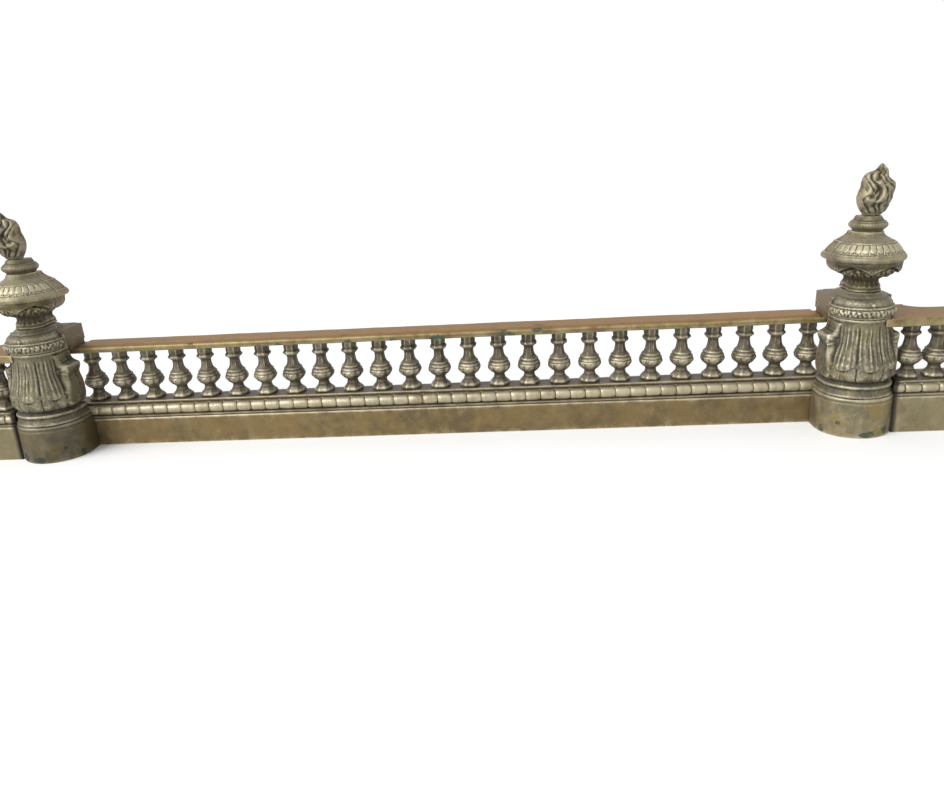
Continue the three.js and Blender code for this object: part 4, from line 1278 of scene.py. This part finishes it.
class OBJECT_OT_fender_collars(bpy.types.Operator):
    """Make the beaded collars under the flames"""
    bl_idname = "object.fender_collars"
    bl_label = "Collars"

    def execute(self, context):
        bottom, top = COLLAR_LOW.z, COLLAR_HIGH.z
        profile = dense([
            (bottom, 8), (bottom, 14.6), (246.6, 14.8), (247.6, 15.3), (248.8, 17.0),
            (250.4, 18.7), (252.0, 19.4), (253.4, 19.5), (254.6, 19.2), (255.6, 18.4),
            (256.0, 17.2), (256.4, 17.4), (257.2, 17.1), (257.8, 16.0), (258.0, 14.6),
            (258.8, 14.2), (260.4, 13.4), (262.2, 12.0), (top, 11.6), (top, 5),
        ], 0.55)
        bm = half_round(profile, COLLAR_HIGH.y - POST_Y, 110, 8)
        carve(bm, self.beads, bottom, top)
        roughen(bm, 4, 0.12, 1.2)
        keep_inside(bm, Vector((-19.8, -19.8, bottom)), Vector((19.8, COLLAR_HIGH.y - POST_Y, top)))
        mark_relief(bm)
        shoulder_marks(bm, 1)
        place_on_posts(bm, "collar", "flame", crease=55)
        bm.free()
        return {"FINISHED"}

    @staticmethod
    def beads(angle, z, y):
        """A row of small beads round the widest part."""
        if y > 0.5:
            return 0.0
        bead = (angle / 10 + 0.5) % 1 - 0.5
        row = 0.5 * ramp(249.4, 250.6, z) * ramp(255.4, 254.2, z)
        return row * (0.35 * bell(bead, 0.32) - 0.15 - 0.32 * bell(abs(bead) - 0.5, 0.09)) * ramp(
            90, 84, abs(angle))


# ---------------------------------------------------------------------------- flames

# Heights over the flame's foot, with its left and right edges there.
FLAME_LEVELS, FLAME_LEFT, FLAME_RIGHT = zip(*[
    (0, -9.5, 10), (2.4, -11, 12.4), (6, -13.6, 15), (10.8, -16.4, 17.4), (15.5, -18, 19.2),
    (21.6, -18.7, 21), (27.6, -17, 21.7), (31.7, -15.4, 22.2), (36.5, -14.9, 22.2),
    (40, -14.4, 18.4), (43, -13.4, 15.8), (46, -11.6, 13.9), (48, -8.8, 13.2), (49.2, -5.2, 12.7),
    (50.4, -0.8, 12.1), (52, 1.6, 11.4), (54, 3.0, 10.6), (56.2, 4.4, 9.4), (57.4, 5.4, 8.5),
    (58, 6.6, 7.3)])
FLAME_TALL = FLAME_LEVELS[-1]
FLAME_DEPTHS = [
    (0, 9.5), (4, 10), (10, 13.5), (16, 17), (24, 18.5), (32, 17), (38, 14.5), (44, 11.5),
    (49, 8.5), (53, 6), (56.5, 3), (58, 0.8)]
# Crests of the tongues: (how proud, how wide, points across and up).
FLAME_CRESTS = [
    (3.4, 1.7, [(10.4, 52), (9.1, 49.5), (7.2, 44.6), (3.8, 40.2), (1.6, 36.5)]),
    (3.2, 1.6, [(-9.6, 46.4), (-11.2, 43), (-11.3, 39), (-8.8, 35.7), (-4.5, 32.5)]),
    (2.4, 1.5, [(-3, 49), (-4, 47.1), (-4.4, 41.4), (-2.6, 36.9), (1.4, 35.9)]),
    (3.4, 1.8, [(-8.2, 27), (-11.4, 23), (-13.6, 19.5), (-11, 17.6), (-7.4, 17), (-3.3, 14.9),
                (1.2, 18), (4.2, 23), (6.2, 28), (5.4, 33)]),
    (2.4, 1.4, [(9, 34), (11.6, 31.6), (12.2, 28.4), (10.4, 25), (6.8, 23.4)]),
    (2.6, 2.0, [(11, 3), (14.4, 8.4), (17.8, 17.5), (18.6, 27.6), (20.4, 36.5)]),
    (2.0, 1.5, [(6.3, 57.2), (9.6, 52.4), (12.2, 46.6), (16.4, 40.4), (19.6, 37)]),
    (2.0, 1.8, [(-15.6, 12), (-17, 20), (-15, 28), (-13.6, 34), (-12.6, 42)]),
    (1.8, 1.6, [(-6, 3), (-9.4, 9), (-13, 14.6)]),
    (1.6, 1.5, [(3, 4), (5.6, 9.6), (7.6, 15), (7.8, 20.4)]),
]
# Hollows between the tongues, in the same form, deep instead of proud.
FLAME_HOLLOWS = [
    (6.2, 2.3, [(1.2, 32.4), (-2.2, 28.8), (-5.2, 25.6), (-7.8, 23.2)]),
    (2.0, 1.3, [(6.2, 53), (6.8, 49.4)]), (3.2, 1.7, [(-11.6, 13.4), (-8.6, 7.6)]),
    (3.6, 1.8, [(11, 16.4), (11.4, 12.2)]), (2.2, 1.5, [(17.6, 27.4), (17.2, 22.4)]),
    (2.4, 2.2, [(-7.6, 42), (-5.8, 36.8)]), (2.6, 2.2, [(1.6, 46), (-0.6, 40)]),
    (3.0, 1.8, [(14.6, 40), (15.8, 35)]), (2.4, 3.0, [(-4.6, 21), (-0.6, 22.6), (2.4, 26)]),
    (2.2, 1.9, [(8.6, 30.4), (8.4, 27.2)]), (2.6, 2.0, [(-5, 9.6), (2, 11.6), (9, 10.8)]),
    (2.4, 1.6, [(-12.4, 30), (-11.4, 34.6)]), (2.0, 1.6, [(13.6, 26), (14.4, 19)]),
]


def flame_edges(level):
    """The flame's left and right edges at a height over its foot."""
    return [float(np.interp(level, FLAME_LEVELS, side)) for side in (FLAME_LEFT, FLAME_RIGHT)]


def near_line(points, line):
    """How far each (across, up) point lies from a line drawn softly through its corners."""
    path = [np.array(spot[:2]) for spot in dense([(*spot, 0) for spot in line], 1.2, soften=5)]
    best = np.full(len(points), 1e9)
    for start, end in zip(path, path[1:]):
        run = end - start
        share = np.clip(((points - start) @ run) / (run @ run), 0, 1)
        best = np.minimum(best, np.hypot(*(points - start - share[:, None] * run).T))
    return best


class OBJECT_OT_fender_flames(bpy.types.Operator):
    """Make the flame finials: a bulb of fire with crested tongues and deep hollows"""
    bl_idname = "object.fender_flames"
    bl_label = "Flames"

    def execute(self, context):
        bm = bmesh.new()
        bmesh.ops.create_uvsphere(bm, u_segments=150, v_segments=120, radius=1.0)
        self.bulb(bm)
        self.tongues(bm)
        bmesh.ops.smooth_vert(bm, verts=bm.verts, factor=0.4, use_axis_x=True, use_axis_y=True,
                              use_axis_z=True)
        roughen(bm, 5, 0.2, 2.9)
        bottom = FLAME_LOW.z
        keep_inside(bm, Vector((-22.6, -21.5, bottom)),
                    Vector((22.6, FLAME_HIGH.y - POST_Y, FLAME_HIGH.z)))
        mark_relief(bm, near=2.2, far=5)
        mark(bm, "bare", lambda spot: max(ramp(1, 4, spot.y), 0.8 * ramp(12, 18, -spot.x)))
        mark(bm, "green", green_spots([(19, -9, bottom + 30, 3.0, 5.0),
                                       (15, -14, bottom + 22, 3.0, 4.5)]))
        place_on_posts(bm, "flame", "flame", crease=80)
        bm.free()
        return {"FINISHED"}

    @staticmethod
    def bulb(bm):
        """Turns a ball into the flame's lopsided bulb with its bent tip."""
        bottom, height = FLAME_LOW.z, FLAME_HIGH.z - FLAME_LOW.z
        back = FLAME_HIGH.y - POST_Y - 0.2
        for vert in bm.verts:
            level = FLAME_TALL * (1 - math.acos(max(-1.0, min(1.0, vert.co.z))) / math.pi)
            turn = math.atan2(vert.co.y, vert.co.x)
            whole = 1.0 if abs(vert.co.z) < 0.9999 else 0.0
            start, end = flame_edges(level)
            front = along(FLAME_DEPTHS, level)
            deep = front if vert.co.y < 0 else min(back, front * 0.7)
            across = (start + end) / 2 + whole * math.cos(turn) * (end - start) / 2
            vert.co = Vector((across, whole * math.sin(turn) * deep,
                              bottom + level * height / FLAME_TALL))

    @staticmethod
    def tongues(bm):
        """Raises the crests of the tongues and sinks the hollows between them."""
        bm.normal_update()
        spots = np.array([(vert.co.x, vert.co.z - FLAME_LOW.z) for vert in bm.verts])
        for size, reach in ((10, 2.6), (4.5, 0.5)):
            spots += reach * np.array([
                (noise.noise((x / size, y / size, size)), noise.noise((y / size, x / size, 0.3)))
                for x, y in spots])

        def strand(x, level):
            """A wavering tongue, rounded on its crest and sharp in the valleys beside it."""
            start, end = flame_edges(level)
            share = 19 * (2 * x - start - end) / max(4.0, end - start)
            share += 3.4 * math.sin(level / 5.6 + 0.05 * share) + 0.16 * level
            share += 2.6 * noise.noise((share / 9, level / 12, 1.7))
            part = (share / 8.6) % 1 * 2 - 1
            return 0.62 - part ** 4 - 0.35 * part ** 2

        change = 2.1 * np.array([strand(x, y) for x, y in spots])
        for proud, width, line in FLAME_CRESTS:
            change += 0.6 * proud * np.exp(-(near_line(spots, line) / (1.6 * width)) ** 1.8)
        for depth, width, line in FLAME_HOLLOWS:
            change -= 0.55 * depth * np.exp(-(near_line(spots, line) / (1.35 * width)) ** 1.6)
        folds = np.array([noise.noise(((x + 0.35 * y) / 3.2, y / 13.0, 4.4)) for x, y in spots])
        change = np.clip(change + folds - 0.6, -5.0, 3.6)
        for vert, amount in zip(bm.verts, change):
            facing = ramp(0.10, -0.45, vert.normal.y) * ramp(1.5, 5, vert.co.z - FLAME_LOW.z)
            vert.co += Vector((vert.normal.x * 0.4, vert.normal.y, vert.normal.z * 0.4)) * (
                float(amount) * facing)


# ---------------------------------------------------------------------------- wing ends, fixings

class OBJECT_OT_fender_pilasters(bpy.types.Operator):
    """Make the square pilasters that end the wings"""
    bl_idname = "object.fender_pilasters"
    bl_label = "End pilasters"

    def execute(self, context):
        low, high = PILASTER_LOW, PILASTER_HIGH
        middle = (low + high) / 2
        wide, deep = (high.x - low.x) / 2, (high.y - low.y) / 2
        tall = high.z - low.z
        bm = bmesh.new()
        ring = [bm.verts.new((x * wide, y * deep, low.z))
                for x, y in ((-1, -1), (1, -1), (1, 1), (-1, 1))]
        face = bm.faces.new(ring)
        levels = ((0.10, 1.0), (0.115, 0.93), (0.14, 0.90), (0.155, 0.80), (0.83, 0.80),
                  (0.845, 0.88), (0.87, 0.90), (0.885, 1.0), (1.0, 1.0))
        for share, width in levels:
            made = bmesh.ops.extrude_face_region(bm, geom=[face])["geom"]
            face = next(item for item in made if isinstance(item, bmesh.types.BMFace))
            for vert in face.verts:
                vert.co = Vector((math.copysign(wide * width, vert.co.x),
                                  math.copysign(deep * width, vert.co.y), low.z + tall * share))
        bmesh.ops.recalc_face_normals(bm, faces=bm.faces)
        shaft = [item for item in bm.faces
                 if abs(item.calc_center_median().z - (low.z + tall * 0.4925)) < 1]
        bmesh.ops.inset_individual(bm, faces=shaft, thickness=2.6, depth=0, use_even_offset=True)
        bmesh.ops.inset_individual(bm, faces=shaft, thickness=0.8, depth=-1.3,
                                   use_even_offset=True)
        corners = [edge for edge in bm.edges if edge.calc_face_angle(0) > math.radians(50)]
        bmesh.ops.bevel(bm, geom=corners, offset=0.7, affect="EDGES", segments=2, profile=0.5,
                        material=-1)
        bmesh.ops.subdivide_edges(bm, edges=[edge for edge in bm.edges if edge.calc_length() > 6],
                                  cuts=3, use_grid_fill=True)
        roughen(bm, 12, 0.15, 3.3)
        keep_inside(bm, Vector((-wide, -deep, low.z)), Vector((wide, deep, high.z)))
        mark_relief(bm)
        for side, way in SIDES.items():
            place(bm, f"{side}_end_pilaster_cast", (way * middle.x, middle.y, 0),
                  [f"{side}_end_pilaster"], material("wing_plinth"))
        bm.free()
        return {"FINISHED"}


class OBJECT_OT_fender_fixings(bpy.types.Operator):
    """Finish the rods and screws that hold each post together"""
    bl_idname = "object.fender_fixings"
    bl_label = "Fixings"

    def execute(self, context):
        steel = steel_material()
        for side in SIDES:
            for part in ("tie_rod", "foot_screw"):
                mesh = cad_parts[f"{side}_{part}"].data
                mesh.materials.clear()
                mesh.materials.append(steel)
        return {"FINISHED"}


# ---------------------------------------------------------------------------- stage

class OBJECT_OT_fender_stage(bpy.types.Operator):
    """Lay the pale floor, hang the soft lamps and set the camera"""
    bl_idname = "object.fender_stage"
    bl_label = "Stage"

    def execute(self, context):
        self.floor()
        self.world(context)
        self.lamp("Daylight", "SUN", (-1.1, -0.9, 1.25), (0, 0, 0), energy=2.5,
                  angle=math.radians(42))
        self.lamp("Window", "AREA", (-1.5, -1.5, 0.9), (0, 0, 0.1), energy=9, size=0.9)
        self.camera(context)
        return {"FINISHED"}

    @staticmethod
    def floor():
        """A wide pale floor that keeps the fender's shadow."""
        bm = bmesh.new()
        bmesh.ops.create_grid(bm, x_segments=1, y_segments=1, size=30)
        mesh = bpy.data.meshes.new("floor")
        bm.to_mesh(mesh)
        bm.free()
        ground = bpy.data.objects.new("floor", mesh)
        bpy.context.scene.collection.objects.link(ground)
        paint, _ = plain_material("Pale floor", Base_Color=(0.93, 0.93, 0.925, 1), Roughness=0.9)
        mesh.materials.append(paint)

    @staticmethod
    def world(context):
        """White to the eye and in the metal, and a soft even light on everything."""
        world = bpy.data.worlds.new("Studio")
        context.scene.world = world
        world.use_nodes = True
        world.node_tree.nodes.clear()
        wire = Wiring(world.node_tree)
        rays = wire.node("ShaderNodeLightPath").outputs
        seen = wire.node("ShaderNodeBackground", Color=(1, 1, 1, 1), Strength=1)
        light = wire.node("ShaderNodeBackground", Color=(0.97, 0.98, 1, 1), Strength=0.62)
        direct = wire.maths("MAXIMUM", rays["Is Camera Ray"], rays["Is Glossy Ray"])
        direct = wire.maths("MAXIMUM", direct, rays["Is Transmission Ray"])
        choose = wire.node("ShaderNodeMixShader")
        for socket, term in zip(choose.inputs, (direct, light.outputs[0], seen.outputs[0])):
            wire.feed(socket, term)
        wire.node("ShaderNodeOutputWorld", Surface=choose.outputs[0])
        wire.stack()

    @staticmethod
    def lamp(name, kind, spot, aim, **settings):
        """Hangs a lamp of a kind at a spot, pointed at its aim."""
        data = bpy.data.lights.new(name, kind)
        for key, value in settings.items():
            setattr(data, key, value)
        holder = bpy.data.objects.new(name, data)
        bpy.context.scene.collection.objects.link(holder)
        holder.location = spot
        holder.rotation_euler = (Vector(aim) - Vector(spot)).to_track_quat("-Z", "Y").to_euler()

    @staticmethod
    def camera(context):
        """Stands where the photograph was taken from."""
        stand = (0.119, -0.973, 0.370)
        yaw, pitch, roll = (math.radians(value) for value in (-4.45, 18.31, 3.43))
        frame_width, focal = 944, 781     # in the photograph's pixels
        level = Vector((math.sin(yaw), math.cos(yaw), 0))
        right = Vector((math.cos(yaw), -math.sin(yaw), 0))
        ahead = level * math.cos(pitch) - Vector((0, 0, math.sin(pitch)))
        down = ahead.cross(right)
        across = right * math.cos(roll) + down * math.sin(roll)
        below = down * math.cos(roll) - right * math.sin(roll)
        turn = Matrix((across, -below, -ahead)).transposed()
        data = bpy.data.cameras.new("Camera")
        data.sensor_width = 36
        data.lens = focal / frame_width * data.sensor_width
        data.clip_end = 60
        eye = bpy.data.objects.new("Camera", data)
        context.scene.collection.objects.link(eye)
        eye.matrix_world = Matrix.Translation(stand) @ turn.to_4x4()
        context.scene.camera = eye
        context.scene.view_settings.view_transform = "Standard"


# ---------------------------------------------------------------------------- add-on

OPERATORS = (
    OBJECT_OT_fender_bases, OBJECT_OT_fender_rails, OBJECT_OT_fender_balusters,
    OBJECT_OT_fender_feet, OBJECT_OT_fender_vases, OBJECT_OT_fender_capitals,
    OBJECT_OT_fender_urns, OBJECT_OT_fender_lids, OBJECT_OT_fender_collars,
    OBJECT_OT_fender_flames, OBJECT_OT_fender_pilasters, OBJECT_OT_fender_fixings,
    OBJECT_OT_fender_stage,
)


class VIEW3D_PT_fender(bpy.types.Panel):
    """Lists the fender's pieces"""
    bl_label = "Fire fender"
    bl_idname = "VIEW3D_PT_fender"
    bl_space_type = "VIEW_3D"
    bl_region_type = "UI"
    bl_category = "Fender"

    def draw(self, context):
        for group in (context.scene.fender_sizes, context.scene.fender_colours):
            for key in group.bl_rna.properties.keys():
                if key not in {"rna_type", "name"}:
                    self.layout.prop(group, key)
        for operator in OPERATORS:
            self.layout.operator(operator.bl_idname)


CLASSES = (FenderSizes, FenderColours) + OPERATORS + (VIEW3D_PT_fender,)


def register():
    for kind in CLASSES:
        bpy.utils.register_class(kind)
    bpy.types.Scene.fender_sizes = bpy.props.PointerProperty(type=FenderSizes)
    bpy.types.Scene.fender_colours = bpy.props.PointerProperty(type=FenderColours)


def unregister():
    del bpy.types.Scene.fender_colours
    del bpy.types.Scene.fender_sizes
    for kind in reversed(CLASSES):
        bpy.utils.unregister_class(kind)


def main():
    """Makes every piece."""
    register()
    for operator in OPERATORS:
        group, action = operator.bl_idname.split(".")
        getattr(getattr(bpy.ops, group), action)()


if __name__ == "__main__":
    main()
